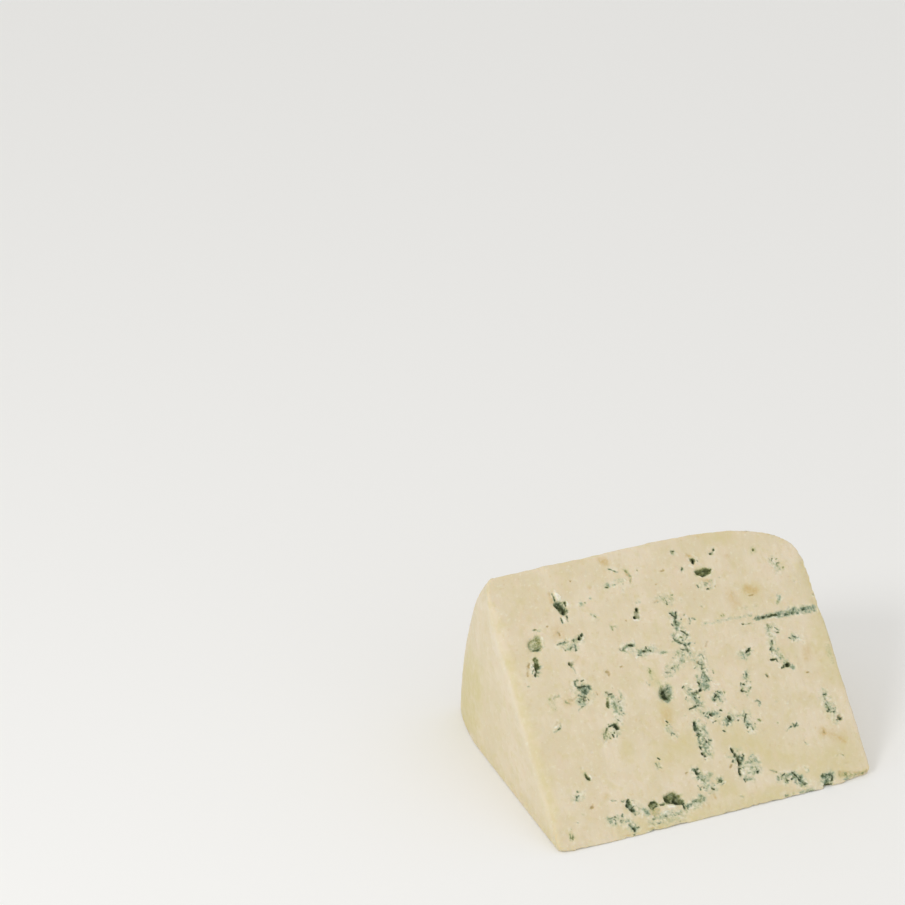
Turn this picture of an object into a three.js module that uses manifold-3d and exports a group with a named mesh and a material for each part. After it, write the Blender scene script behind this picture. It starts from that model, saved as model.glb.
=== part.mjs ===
// A loose wedge of blue cheese, cut out of a low round wheel and laid on one of its two cut faces.
//
// Millimetres, +Z up. While it is made, the wheel's axis runs along X, the lower cut face is the
// plane Z = 0 and the upper cut face climbs from the axis towards +Y. The finished wedge is then
// moved so that its box stands centred on the origin:
//   X  along the sharp axis edge, from one flat face of the wheel to the other
//   Y  from the sharp axis edge, in front, to the rim, behind
//   Z  up from the lower cut face

import * as THREE from 'three';
import { mergeVertices, toCreasedNormals } from 'three/addons/utils/BufferGeometryUtils.js';
import Module from 'manifold-3d';

// The wheel. Its edge is tight on the left side, and has slumped into a long slope on the right.
// A roundness of 2 is an ellipse, less is nearer to a chamfer and more is nearer to a square.
const WHEEL_HEIGHT = 100;
const WHEEL_RADIUS = 82.6;
const LEFT_CORNER = { along: 4.3, inward: 21.9, roundness: 1.5 };
const RIGHT_CORNER = { along: 45, inward: 18.2, roundness: 2.5 };
const CORNER_STEPS = 12;
const WHEEL_SEGMENTS = 120;

// The two knife cuts, which meet at the wheel's axis.
const WEDGE_ANGLE = THREE.MathUtils.degToRad(45.5);
const NOSE_RADIUS = 0.5;
const NOSE_STEPS = 4;
const KNIFE_MARGIN = 10;

// The soft edges between the upper cut face and the wheel's two flat faces.
const SOFT_EDGE = 1.1;
const EDGE_TOOL = 8;

// The largest hollows of the upper cut face. Each is an egg-shaped scoop, with its centre on the
// face: `along` the axis edge, `out` from it towards the rim, its size on the face as `wide` by
// `long` before it is turned on the face by `turn` degrees, and its depth.
const HOLLOWS = [
  { along: 21.6, out: 69.3, wide: 2.0, long: 5.6, deep: 2.6, turn: 10 },  // steep crevice
  { along: 20.9, out: 73.4, wide: 1.2, long: 4.0, deep: 1.0, turn: 14 },  // its upper tail
  { along: 10.9, out: 61.2, wide: 4.6, long: 3.8, deep: 1.5, turn: -25 }, // shallow green hollow
  { along: 8.3, out: 54.2, wide: 3.4, long: 4.8, deep: 1.7, turn: -12 },  // ringed pit
  { along: 67.4, out: 70.8, wide: 5.4, long: 1.9, deep: 2.2, turn: 0 },   // flat olive hole
  { along: 65.2, out: 74.6, wide: 1.8, long: 1.4, deep: 1.5, turn: 0 },   // small hole above it
  { along: 43.2, out: 62.5, wide: 1.6, long: 2.8, deep: 1.5, turn: -15 }, // three-cornered hole
  { along: 20.6, out: 44.6, wide: 5.6, long: 2.6, deep: 1.5, turn: -12 }, // teal pit
  { along: 26.6, out: 32.0, wide: 3.8, long: 1.9, deep: 1.4, turn: 5 },   // pit under the loops
  { along: 44.9, out: 38.2, wide: 2.9, long: 4.2, deep: 2.4, turn: -12 }, // deep soft pit
  { along: 51.6, out: 24.3, wide: 2.0, long: 9.2, deep: 1.6, turn: 12 },  // long vein
  { along: 83.9, out: 38.1, wide: 2.4, long: 1.6, deep: 1.8, turn: 0 },   // dark pit, right
  { along: 95.3, out: 19.4, wide: 1.9, long: 1.4, deep: 1.5, turn: 0 },   // dark pit, far right
  { along: 61.2, out: 13.0, wide: 2.2, long: 7.4, deep: 2.4, turn: 8 },   // big crevice
  { along: 25.2, out: 9.0, wide: 2.2, long: 4.6, deep: 2.0, turn: 22 },   // tilted slit
  { along: 31.2, out: 7.4, wide: 2.8, long: 2.4, deep: 1.8, turn: 0 },    // double hole, small
  { along: 37.9, out: 8.4, wide: 4.8, long: 3.6, deep: 2.8, turn: -18 },  // double hole, large
  { along: 41.6, out: 5.2, wide: 3.8, long: 1.8, deep: 1.2, turn: 30 },   // its right arm
];
const HOLLOW_SEGMENTS = 14;
const HOLLOW_RINGS = 10;

// Chips that have crumbled out of the sharp axis edge, as lengths along it and depths into it.
const CHIPS = [
  { along: 12, length: 9, depth: 0.5 },
  { along: 47, length: 13, depth: 0.45 },
  { along: 71, length: 8, depth: 0.7 },
  { along: 86.5, length: 5, depth: 1.3 },
];

// One channel that a piercing needle left, parallel to the wheel's axis.
const CHANNEL = { from: 78, to: 98.4, out: 53.6, radius: 0.75, sunk: 0.2, sides: 10 };

const PASTE = { color: 0xded1b5, roughness: 0.62, metalness: 0 };
const CREASE_ANGLE = THREE.MathUtils.degToRad(32);

const wasm = await Module();
wasm.setup();

// A closed three.js geometry as a solid that can be joined and cut.
function toSolid(geometry) {
  const bare = geometry.clone();
  bare.deleteAttribute('normal');
  bare.deleteAttribute('uv');
  const merged = mergeVertices(bare);
  const mesh = new wasm.Mesh({
    numProp: 3,
    vertProperties: new Float32Array(merged.attributes.position.array),
    triVerts: new Uint32Array(merged.index.array),
  });
  return new wasm.Manifold(mesh);
}

// A solid back as a three.js geometry, with soft normals inside its faces.
function toGeometry(solid) {
  const mesh = solid.getMesh();
  const geometry = new THREE.BufferGeometry();
  geometry.setAttribute('position', new THREE.BufferAttribute(mesh.vertProperties, 3));
  geometry.setIndex(new THREE.BufferAttribute(mesh.triVerts, 1));
  return toCreasedNormals(geometry, CREASE_ANGLE);
}

// Points of a rounded corner between a flat face (x = 0) and the rim (y = radius), face first.
function cornerPoints({ along, inward, roundness }) {
  const points = [];
  for (let step = 0; step <= CORNER_STEPS; step += 1) {
    const turn = (Math.PI / 2) * (step / CORNER_STEPS);
    const x = along * (1 - Math.cos(turn) ** (2 / roundness));
    const y = WHEEL_RADIUS - inward * (1 - Math.sin(turn) ** (2 / roundness));
    points.push(new THREE.Vector2(x, y));
  }
  return points;
}

// The whole wheel: its half section turned about its axis, which lies along X.
function wheel() {
  const left = cornerPoints(LEFT_CORNER).map((p) => new THREE.Vector2(p.y, p.x));
  const right = cornerPoints(RIGHT_CORNER).map((p) => new THREE.Vector2(p.y, WHEEL_HEIGHT - p.x));
  const section = [new THREE.Vector2(0, 0), ...left, ...right.reverse()];
  section.push(new THREE.Vector2(0, WHEEL_HEIGHT));
  return new THREE.LatheGeometry(section, WHEEL_SEGMENTS).rotateZ(-Math.PI / 2);
}

// The space between the two knife cuts, with a slightly blunt nose along the axis.
function knifeWedge() {
  const reach = 2 * WHEEL_RADIUS;
  const noseCentre = NOSE_RADIUS / Math.tan(WEDGE_ANGLE / 2);
  const outline = new THREE.Shape();
  outline.moveTo(noseCentre, 0);
  outline.lineTo(reach, 0);
  outline.lineTo(reach * Math.cos(WEDGE_ANGLE), reach * Math.sin(WEDGE_ANGLE));
  outline.absarc(noseCentre, NOSE_RADIUS, NOSE_RADIUS, WEDGE_ANGLE + Math.PI / 2, 1.5 * Math.PI);
  const geometry = new THREE.ExtrudeGeometry(outline, {
    depth: WHEEL_HEIGHT + 2 * KNIFE_MARGIN,
    bevelEnabled: false,
    curveSegments: NOSE_STEPS,
  });
  // The outline's x and y become Y and Z, and its depth runs along X.
  const turned = new THREE.Matrix4().makeBasis(
    new THREE.Vector3(0, 1, 0),
    new THREE.Vector3(0, 0, 1),
    new THREE.Vector3(1, 0, 0),
  );
  return geometry.applyMatrix4(turned).translate(-KNIFE_MARGIN, 0, 0);
}

const ACROSS = new THREE.Vector3(1, 0, 0);
const OUTWARD = new THREE.Vector3(0, Math.cos(WEDGE_ANGLE), Math.sin(WEDGE_ANGLE));
const FACE_NORMAL = new THREE.Vector3().crossVectors(ACROSS, OUTWARD);

// A point of the upper cut face, from its distance along the axis edge and out from it.
function onCutFace(along, out) {
  return new THREE.Vector3(along, 0, 0).addScaledVector(OUTWARD, out);
}

// The cutter that softens the edge between the upper cut face and one flat face.
function edgeTool(x, side) {
  const away = new THREE.Vector3(side, 0, 0).add(FACE_NORMAL).normalize();
  const sideways = new THREE.Vector3().crossVectors(away, OUTWARD);
  const length = 2 * WHEEL_RADIUS;
  const centre = onCutFace(x, length / 2).addScaledVector(away, (EDGE_TOOL - SOFT_EDGE) / 2);
  const place = new THREE.Matrix4().makeBasis(away, OUTWARD, sideways).setPosition(centre);
  return new THREE.BoxGeometry(EDGE_TOOL, length + KNIFE_MARGIN, EDGE_TOOL).applyMatrix4(place);
}

// An egg-shaped scoop with its middle on the upper cut face.
function hollow({ along, out, wide, long, deep, turn }) {
  const place = new THREE.Matrix4()
    .makeBasis(ACROSS, OUTWARD, FACE_NORMAL)
    .setPosition(onCutFace(along, out));
  return new THREE.SphereGeometry(1, HOLLOW_SEGMENTS, HOLLOW_RINGS)
    .scale(wide / 2, long / 2, deep)
    .rotateZ(THREE.MathUtils.degToRad(turn))
    .applyMatrix4(place);
}

// A chip out of the sharp edge: a long scoop whose side just reaches into the edge.
function chip({ along, length, depth }) {
  const radius = 3 * depth;
  const noseReach = NOSE_RADIUS / Math.tan(WEDGE_ANGLE / 2) - NOSE_RADIUS;
  return new THREE.SphereGeometry(1, HOLLOW_SEGMENTS, HOLLOW_RINGS)
    .scale(length / 2, radius, radius)
    .translate(along, noseReach + depth - radius, NOSE_RADIUS);
}

// The needle's channel, which the knife has opened from the side.
function channel() {
  const { from, to, out, radius, sunk, sides } = CHANNEL;
  const middle = onCutFace((from + to) / 2, out).addScaledVector(FACE_NORMAL, -sunk);
  return new THREE.CylinderGeometry(radius, radius, to - from, sides)
    .rotateZ(Math.PI / 2)
    .translate(middle.x, middle.y, middle.z);
}

function cheeseWedge() {
  const tools = [
    edgeTool(0, -1),
    edgeTool(WHEEL_HEIGHT, 1),
    ...HOLLOWS.map(hollow),
    ...CHIPS.map(chip),
    channel(),
  ];
  const whole = toSolid(wheel()).intersect(toSolid(knifeWedge()));
  return tools.reduce((solid, tool) => solid.subtract(toSolid(tool)), whole);
}

// Moves a geometry so that the middle of its box's base is the origin.
function standOnOrigin(geometry) {
  geometry.computeBoundingBox();
  const { min, max } = geometry.boundingBox;
  return geometry.translate(-(min.x + max.x) / 2, -(min.y + max.y) / 2, -min.z);
}

const geometry = standOnOrigin(toGeometry(cheeseWedge()));
const mesh = new THREE.Mesh(geometry, new THREE.MeshStandardMaterial(PASTE));
mesh.name = 'cheese_wedge';

const cheese = new THREE.Group();
cheese.add(mesh);

export default cheese;
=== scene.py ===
"""The looks of a loose wedge of blue cheese, lying on one cut face with its veined cut face up.

One dense mesh replaces the frame's node. It is worked out in millimetres, in the wheel's own
frame: x runs along the wheel's axis from the left flat face, y from the axis to the rim on the
floor, and z up. It turns into metres, in the frame's place, only when the Blender mesh is made.

A place on the upper cut face is given as (along, out): along the axis edge, and out from it.
"""

import itertools
import math
from collections import namedtuple

import bmesh
import bpy
import numpy as np
from mathutils import Matrix, Vector


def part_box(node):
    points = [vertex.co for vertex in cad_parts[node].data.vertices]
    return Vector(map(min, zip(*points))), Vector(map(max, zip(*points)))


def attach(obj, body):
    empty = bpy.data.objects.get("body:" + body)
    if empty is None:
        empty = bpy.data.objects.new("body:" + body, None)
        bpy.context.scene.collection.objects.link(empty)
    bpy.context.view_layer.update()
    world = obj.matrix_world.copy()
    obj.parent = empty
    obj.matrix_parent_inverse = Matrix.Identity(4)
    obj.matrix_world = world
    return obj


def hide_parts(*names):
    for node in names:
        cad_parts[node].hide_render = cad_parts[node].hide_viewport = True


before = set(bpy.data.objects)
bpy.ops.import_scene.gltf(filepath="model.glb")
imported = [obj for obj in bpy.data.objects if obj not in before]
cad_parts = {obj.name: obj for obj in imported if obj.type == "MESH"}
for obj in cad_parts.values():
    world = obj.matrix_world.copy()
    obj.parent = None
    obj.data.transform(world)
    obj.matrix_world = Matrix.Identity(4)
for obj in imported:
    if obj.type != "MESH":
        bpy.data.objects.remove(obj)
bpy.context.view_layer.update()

# --------------------------------------------------------------------------------------------------
# Sizes, in millimetres
# --------------------------------------------------------------------------------------------------

MM = 0.001
NODE = "cheese_wedge"

WEDGE_ANGLE = math.radians(45.5)
NOSE_REACH = 0.69  # from the wheel's axis to the blunt sharp edge of the CAD wedge
CAD_LOW, CAD_HIGH = (np.array(corner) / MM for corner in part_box(NODE))
ORIGIN = CAD_LOW - (0.0, NOSE_REACH, 0.0)  # where the left end of the wheel's axis lies
BOX_LOW, BOX_HIGH = CAD_LOW - ORIGIN, CAD_HIGH - ORIGIN
WHEEL_HEIGHT = BOX_HIGH[0]
WHEEL_RADIUS = BOX_HIGH[1]

# The rim's two corners: how far each reaches along the axis and inward, and how round it is
# (2 is an ellipse, less is nearer to a chamfer, more is nearer to a square).
LEFT_CORNER = (4.3, 21.9, 2.9)
LEFT_CORNER_LOW = (4.9, 21.9, 1.45)  # the left one near the floor, where it is worn flatter
RIGHT_CORNER = (45.0, 18.2, 2.6)

# Directions: out along the upper cut face, and up from it.
OUT = np.array([0.0, math.cos(WEDGE_ANGLE), math.sin(WEDGE_ANGLE)])
UP = np.array([0.0, -math.sin(WEDGE_ANGLE), math.cos(WEDGE_ANGLE)])

# The sharp edge as the knife and handling left it: how far it is worn back, by place along it.
NOSE_WEAR = (
    (0, 2.4), (1, 1.6), (3, 1.1), (6, 0.95), (9, 0.7), (16, 0.5), (21, 0.65), (26, 0.55),
    (30, 0.75), (36, 0.6), (44, 0.5), (50, 0.4), (58, 0.35), (61, 0.6), (66, 0.6), (75, 0.5),
    (82.5, 0.35), (83.6, 0.4), (84.3, 1.3), (87.5, 1.1), (90, 1.0), (93, 1.7), (98, 2.0),
    (99.3, 2.6), (100, 3.4),
)
NOSE_SOFT = 0.5
EDGE_SOFT = 0.7
LEFT_EDGE_SOFT = 4.2

# How long the mesh's edges are, from plain places to the insides of hollows.
COARSE, SKIN_LENGTH, FINE, FINER, FINEST = 1.6, 1.1, 0.58, 0.4, 0.22
SEED = 11

# --------------------------------------------------------------------------------------------------
# Marks on a cut face: hollows, torn edges and mould. Each is a soft stroke through its points.
# --------------------------------------------------------------------------------------------------

# depth: how deep, as a share of the stroke's width (less than 0 stands proud).
# mould: how much mould.  hue: 0 is blue-grey mould, 1 is olive.  hole: how dark inside, from the dark mould
# lining and from shade painted where the hollow is deepest.
# pale: torn, nearly white curd.  tan: ochre stain.  yellow: buttery paste.
# grit: how crumbly it is in and around the stroke.  soft: how gently its sides end.
Style = namedtuple(
    "Style", "depth mould hue hole pale tan yellow grit soft", defaults=(0.0,) * 8 + (0.8,)
)

HOLE = Style(depth=1.1, mould=1.0, hue=0.75, hole=1.0, grit=0.9, soft=0.3)
POCKET = Style(depth=0.5, mould=0.9, hue=0.6, hole=0.5, grit=0.7, soft=0.5)
SLUMP = Style(depth=0.5, mould=0.9, hue=0.5, hole=0.5, grit=0.3, soft=0.8)
DOME = Style(depth=0.5, mould=0.85, hue=0.85, hole=0.12, grit=0.4, soft=0.4)
MOSS = Style(depth=0.4, mould=0.95, hue=1.0, hole=0.1, grit=0.2, soft=0.3)
LINING = Style(depth=0.4, mould=0.88, hue=0.25, hole=0.1, grit=0.15, soft=0.4)
GROOVE = Style(depth=0.35, mould=0.58, hue=0.1, grit=0.1, soft=0.7)
SCOOP = Style(depth=0.3, mould=0.48, hue=0.85, grit=0.05, soft=0.3)
PIT = Style(depth=0.35, mould=0.8, hue=0.2, hole=0.2, grit=0.3, soft=0.7)
TICK = Style(depth=0.8, mould=0.95, hue=0.6, hole=0.85, grit=0.8, soft=0.45)
LINE = Style(depth=0.5, mould=0.76, hue=0.35, hole=0.3, grit=0.6, soft=0.6)
SCRATCH = Style(depth=0.4, mould=0.45, hue=0.8, hole=0.08, grit=0.5, soft=0.5)
TEAL = Style(depth=0.06, mould=0.52, hue=0.1, grit=0.9, soft=0.9)
GREY = Style(depth=0.04, mould=0.4, hue=0.25, grit=0.6, soft=0.9)
WASH = Style(depth=0.01, mould=0.26, hue=0.35, grit=0.7, soft=1.0)
BOSS = Style(depth=-0.08, mould=0.42, hue=0.3, pale=0.1, grit=0.05, soft=0.6)
OLIVE = Style(depth=0.10, mould=0.6, hue=1.0, grit=0.6, soft=0.7)
STAIN = Style(depth=0.01, mould=0.28, hue=1.0, grit=0.3, soft=1.0)
CURD = Style(depth=-0.3, pale=1.0, grit=0.6, soft=0.5)
TAN = Style(depth=0.04, tan=0.85, grit=0.2)
BROWN = Style(depth=0.4, mould=0.12, hue=1.0, hole=0.3, tan=1.0, grit=0.2, soft=0.5)
CLAY = Style(depth=0.2, mould=0.3, hue=1.0, tan=0.9, soft=0.4)
BLUSH = Style(tan=0.5, soft=1.0)
POCK = Style(depth=0.2, tan=0.1, soft=0.8)
BUTTER = Style(yellow=0.65, soft=1.0)
DEEPEST = 2.6

# Each mark is its style, its width and its points, as (along, out) on the upper cut face.
BROAD = (
    (WASH, 3.4, (54.6, 60.0), (54.8, 54.0), (55.4, 47.0)),  # thin mould round the denser marks
    (WASH, 4.0, (58.4, 46.6), (58.0, 38.0)),
    (WASH, 4.2, (52.6, 37.6), (53.4, 33.0)),
    (WASH, 3.6, (59.4, 34.4), (60.6, 33.4)),
    (WASH, 3.2, (55.0, 29.6), (58.2, 29.0)),
    (WASH, 3.4, (51.6, 28.0), (52.0, 18.6)),
    (WASH, 3.0, (46.8, 14.4), (50.4, 8.4)),
    (WASH, 2.6, (53.4, 10.2)),
    (WASH, 3.2, (60.6, 17.0), (61.0, 10.0)),
    (WASH, 2.6, (65.4, 14.4), (65.8, 10.8)),
    (WASH, 3.2, (60.0, 26.4), (63.4, 27.0)),
    (WASH, 3.4, (67.0, 26.6), (67.6, 22.8)),
    (WASH, 2.6, (71.0, 38.4), (69.4, 33.4)),
    (WASH, 2.2, (83.6, 50.6), (81.6, 46.0), (81.6, 41.0), (84.0, 39.4)),
    (WASH, 3.0, (92.4, 26.6), (94.4, 19.6)),
    (WASH, 3.2, (72.0, 6.6), (76.0, 6.2), (78.6, 3.8)),
    (WASH, 3.4, (84.8, 2.0), (87.0, 3.8)),
    (WASH, 3.4, (30.2, 3.4), (38.4, 3.2)),
    (WASH, 3.0, (41.0, 5.0), (46.2, 5.8)),
    (WASH, 2.2, (28.2, 7.0)),
    (WASH, 2.8, (17.4, 6.4), (21.2, 5.8), (23.8, 3.0)),
    (WASH, 3.0, (24.8, 9.6), (26.6, 8.0)),
    (WASH, 4.2, (19.4, 46.0), (21.4, 43.0)),
    (WASH, 3.0, (28.0, 41.4), (30.6, 38.4), (28.4, 34.0)),
    (WASH, 3.0, (24.4, 31.2), (27.0, 31.4)),
    (WASH, 2.6, (18.0, 59.0), (22.4, 58.4), (24.6, 59.6)),
    (WASH, 2.4, (8.6, 55.4), (8.4, 52.6)),
    (WASH, 2.4, (36.6, 53.8), (41.6, 51.6), (45.4, 51.6)),
    (WASH, 3.0, (47.4, 44.2), (51.4, 45.8), (52.6, 48.6)),
    (WASH, 1.6, (27.6, 69.4)),
    (WASH, 1.6, (30.8, 64.9)),
    (WASH, 1.4, (36.6, 72.8), (42.6, 73.6)),
    (WASH, 2.4, (51.6, 66.0), (54.4, 64.6)),
    (WASH, 2.2, (66.0, 67.0), (69.0, 66.6)),
    (WASH, 2.0, (89.6, 69.6), (90.4, 66.0)),
    (WASH, 2.4, (72.0, 44.4), (74.0, 44.8)),
    (WASH, 2.2, (88.4, 45.6), (90.0, 45.4)),
    (WASH, 2.2, (8.8, 15.0), (10.6, 15.4)),
    (WASH, 1.8, (36.4, 18.8)),
    (WASH, 2.4, (43.6, 26.4), (42.4, 28.6)),
    (BUTTER, 9.0, (62.0, 21.0), (67.6, 17.6)),  # yellower paste
    (BUTTER, 7.0, (70.6, 13.6), (82.0, 10.0)),
    (BUTTER, 8.0, (38.0, 20.0), (48.4, 23.0)),
    (BUTTER, 9.0, (82.0, 8.0), (94.0, 8.0)),
    (BUTTER, 7.0, (97.0, 44.0), (97.0, 34.0)),
    (BUTTER, 5.0, (20.0, 3.0), (30.0, 2.0), (44.0, 1.0)),
    (BUTTER, 5.0, (43.6, 34.6), (43.0, 31.6)),
    (BUTTER, 4.0, (42.6, 45.0), (43.4, 41.6)),
    (BUTTER, 5.0, (40.0, 2.0), (56.0, 1.6), (72.0, 2.4)),
    (BUTTER, 5.0, (54.6, 8.0), (57.4, 5.2)),
    (BUTTER, 4.0, (90.0, 3.6), (98.0, 2.0)),
    (BUTTER, 4.0, (99.6, 66.0), (99.6, 30.0)),
    (BUTTER, 4.4, (0.6, 58.0), (0.8, 12.0)),
    (BUTTER, 4.0, (72.0, 80.0), (79.0, 79.0)),
    (BUTTER, 5.0, (79.6, 62.6), (81.0, 62.2)),
    (BUTTER, 3.4, (27.6, 22.6), (28.4, 26.6)),
    (BUTTER, 3.0, (94.6, 13.6), (93.0, 9.0)),
    (BLUSH, 4.0, (18.4, 62.6)),
    (BLUSH, 3.0, (15.6, 42.4)),
    (BLUSH, 3.0, (73.6, 62.0), (74.2, 59.6)),
    (BLUSH, 3.0, (43.4, 33.0), (43.0, 30.6)),
    (BLUSH, 2.4, (89.0, 17.0), (93.6, 13.4)),
    (BLUSH, 2.4, (92.0, 41.8), (91.0, 39.0)),
    (BLUSH, 2.0, (18.0, 13.7)),
)
TOP_LEFT = (
    (POCKET, 2.3, (20.9, 70.6), (21.8, 68.6)),  # steep crevice
    (HOLE, 1.2, (21.4, 70.2), (21.9, 69.0), (22.1, 67.9)),
    (TICK, 0.45, (20.1, 74.3), (20.2, 72.0)),
    (TICK, 0.45, (19.7, 71.0), (20.3, 69.0)),
    (CURD, 0.6, (21.0, 75.2), (21.0, 74.0)),
    (CURD, 1.2, (21.2, 73.6), (21.4, 72.3)),
    (CURD, 0.5, (23.6, 71.0), (23.8, 69.6)),
    (TICK, 0.45, (22.9, 70.8), (23.2, 69.8)),
    (TICK, 0.45, (23.2, 68.8), (22.9, 67.8)),
    (CURD, 0.9, (21.4, 66.6), (21.5, 65.2)),
    (TICK, 0.45, (22.4, 66.9), (22.4, 65.2)),
    (LINE, 0.4, (20.5, 66.6), (20.7, 65.2)),
    (TAN, 1.0, (19.3, 74.5), (19.3, 70.6)),
    (SCOOP, 3.6, (10.2, 60.8), (10.8, 60.6)),  # shallow green hollow
    (SCOOP, 1.8, (9.4, 60.6), (10.2, 61.8), (11.6, 62.4), (11.2, 59.8)),
    (OLIVE, 0.8, (10.6, 62.4), (12.3, 62.9), (12.2, 61.8)),
    (LINING, 0.7, (9.6, 59.4), (11.2, 59.2)),
    (CURD, 0.5, (13.2, 62.6), (12.8, 59.8)),
    (GREY, 1.2, (13.0, 64.5)),
    (BROWN, 0.8, (18.4, 62.6), (18.8, 62.2)),
    (LINE, 0.6, (17.2, 59.4), (18.4, 59.5), (19.8, 59.5)),
    (SCRATCH, 0.6, (20.4, 59.5), (22.4, 59.2)),
    (LINE, 0.6, (22.5, 58.6), (22.2, 56.4)),
    (SCRATCH, 0.6, (18.2, 58.4), (19.2, 57.2)),
    (BOSS, 2.0, (20.6, 57.8)),
    (HOLE, 1.0, (24.3, 59.8)),
    (TICK, 0.8, (25.1, 60.3), (25.3, 60.6)),
    (CURD, 0.5, (24.4, 58.9), (25.4, 59.4)),
    (MOSS, 1.4, (9.3, 56.4), (9.1, 54.2)),  # ringed pit
    (TICK, 0.6, (8.9, 54.2), (8.5, 53.0), (7.9, 52.0)),
    (BROWN, 0.7, (7.2, 55.6), (6.3, 54.4), (5.8, 52.5)),
    (CURD, 1.2, (7.9, 55.2), (7.5, 53.2)),
    (LINE, 0.4, (7.6, 54.6), (7.2, 52.9)),
    (TEAL, 1.0, (10.0, 54.4), (9.4, 52.6)),
    (GREY, 1.0, (27.6, 70.0), (27.6, 69.0)),
    (SCRATCH, 0.6, (29.0, 69.4)),
    (BROWN, 0.7, (26.5, 76.6)),
    (TICK, 0.5, (30.6, 64.9), (31.0, 64.7)),
    (GREY, 0.6, (29.6, 65.7)),
    (GREY, 0.8, (31.0, 70.5)),
    (OLIVE, 1.0, (34.8, 61.2), (34.9, 60.6)),
    (SCRATCH, 0.6, (11.3, 65.1), (12.0, 65.1)),
    (BROWN, 0.6, (15.8, 65.2)),
    (TAN, 0.6, (31.2, 73.2), (31.8, 73.8)),
)
TOP_MIDDLE = (
    (TAN, 2.0, (37.6, 80.5), (38.8, 79.9)),
    (LINE, 0.4, (38.7, 77.8), (40.2, 76.9), (41.5, 76.2)),
    (SCRATCH, 0.6, (43.5, 76.5), (44.4, 75.4), (44.9, 73.6), (44.1, 72.0)),
    (TAN, 0.8, (43.6, 76.2), (44.8, 74.0), (44.2, 72.2)),
    (GREY, 0.9, (41.5, 70.5)),
    (SCRATCH, 0.6, (47.6, 75.3)),
    (BROWN, 0.5, (51.9, 70.1)),
    (BROWN, 0.5, (54.6, 73.6), (55.4, 73.5)),
    (HOLE, 0.9, (43.9, 64.1), (43.2, 62.4)),  # three-cornered hole
    (HOLE, 0.8, (43.8, 63.2), (43.8, 61.6)),
    (HOLE, 0.9, (42.5, 62.0), (43.6, 62.0)),
    (CURD, 0.6, (42.2, 61.2), (44.2, 61.1)),
    (GREY, 0.7, (44.3, 66.2)),
    (GREY, 0.7, (45.3, 66.2)),
    (BROWN, 0.7, (39.7, 61.5)),
    (OLIVE, 0.8, (36.0, 61.0)),
    (BROWN, 0.7, (50.1, 65.0), (50.8, 65.2)),
    (SCRATCH, 0.6, (54.2, 66.8)),
    (LINE, 0.5, (53.5, 63.7)),
    (TEAL, 2.0, (54.4, 60.4), (54.6, 56.6)),
    (TICK, 0.6, (55.4, 60.6), (54.9, 59.6), (54.6, 58.0)),
    (TICK, 0.5, (53.9, 60.4), (54.6, 59.7)),
    (LINE, 0.5, (54.4, 57.6), (55.2, 56.4)),
    (LINE, 0.5, (59.0, 58.2), (58.9, 57.4), (58.6, 56.5)),
    (LINE, 0.5, (59.8, 57.9), (60.4, 57.6)),
    (TICK, 0.6, (59.6, 78.4), (60.1, 78.6)),
    (GREY, 1.6, (59.9, 78.2)),
    (TAN, 1.2, (64.0, 76.3), (64.8, 75.8)),
    (HOLE, 0.9, (64.6, 75.0), (65.5, 74.7), (65.1, 74.1)),
    (LINE, 0.4, (66.4, 74.8), (66.6, 74.0)),
    (CURD, 0.5, (63.6, 73.4), (64.3, 72.6)),
    (CURD, 0.4, (66.0, 76.2), (66.8, 75.4)),
    (MOSS, 1.9, (65.9, 70.8), (69.0, 70.5)),  # flat olive hole
    (MOSS, 1.0, (65.6, 71.0), (67.0, 69.8), (68.2, 69.7)),
    (HOLE, 0.6, (65.6, 70.3), (66.8, 69.4), (69.0, 69.8)),
    (HOLE, 0.5, (67.6, 70.9), (68.6, 70.6), (69.9, 70.7)),
    (TAN, 1.0, (66.2, 68.4), (68.6, 67.6)),
    (SCRATCH, 0.5, (66.9, 67.4), (68.0, 67.0)),
    (LINE, 0.6, (61.2, 73.1), (61.1, 72.2)),
    (LINE, 0.5, (64.5, 67.2), (64.6, 66.6)),
    (SCRATCH, 0.6, (63.6, 60.8), (64.0, 60.4)),
    (SCRATCH, 0.5, (58.2, 64.4), (58.0, 63.2)),
)
TOP_RIGHT = (
    (TICK, 0.6, (71.3, 75.3), (72.1, 75.7), (72.6, 76.4)),
    (STAIN, 2.2, (84.6, 73.6)),
    (MOSS, 0.8, (84.6, 73.7)),
    (TAN, 0.9, (75.8, 73.8), (76.4, 73.7)),
    (SCRATCH, 0.5, (89.0, 70.0), (89.2, 69.6)),
    (SCRATCH, 0.5, (90.6, 68.4), (90.3, 67.4)),
    (SCRATCH, 0.6, (92.3, 67.0), (92.1, 66.2)),
    (TAN, 2.4, (79.2, 63.0), (81.2, 62.0)),  # ochre patch
    (BROWN, 0.5, (79.4, 60.8), (80.6, 60.9)),
    (TEAL, 1.2, (88.2, 58.6), (88.0, 57.6)),
    (OLIVE, 0.7, (87.0, 57.0), (86.8, 56.4)),
    (OLIVE, 0.7, (69.0, 56.8), (69.6, 56.6)),
    (BROWN, 0.6, (69.9, 65.8)),
    (SCRATCH, 0.7, (68.6, 67.3)),
    (SCRATCH, 0.5, (71.8, 68.0)),
    (STAIN, 1.0, (75.0, 57.6), (81.0, 57.0)),
    (HOLE, 0.9, (99.4, 56.8)),
    (SCRATCH, 0.6, (94.4, 62.0)),
)
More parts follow.
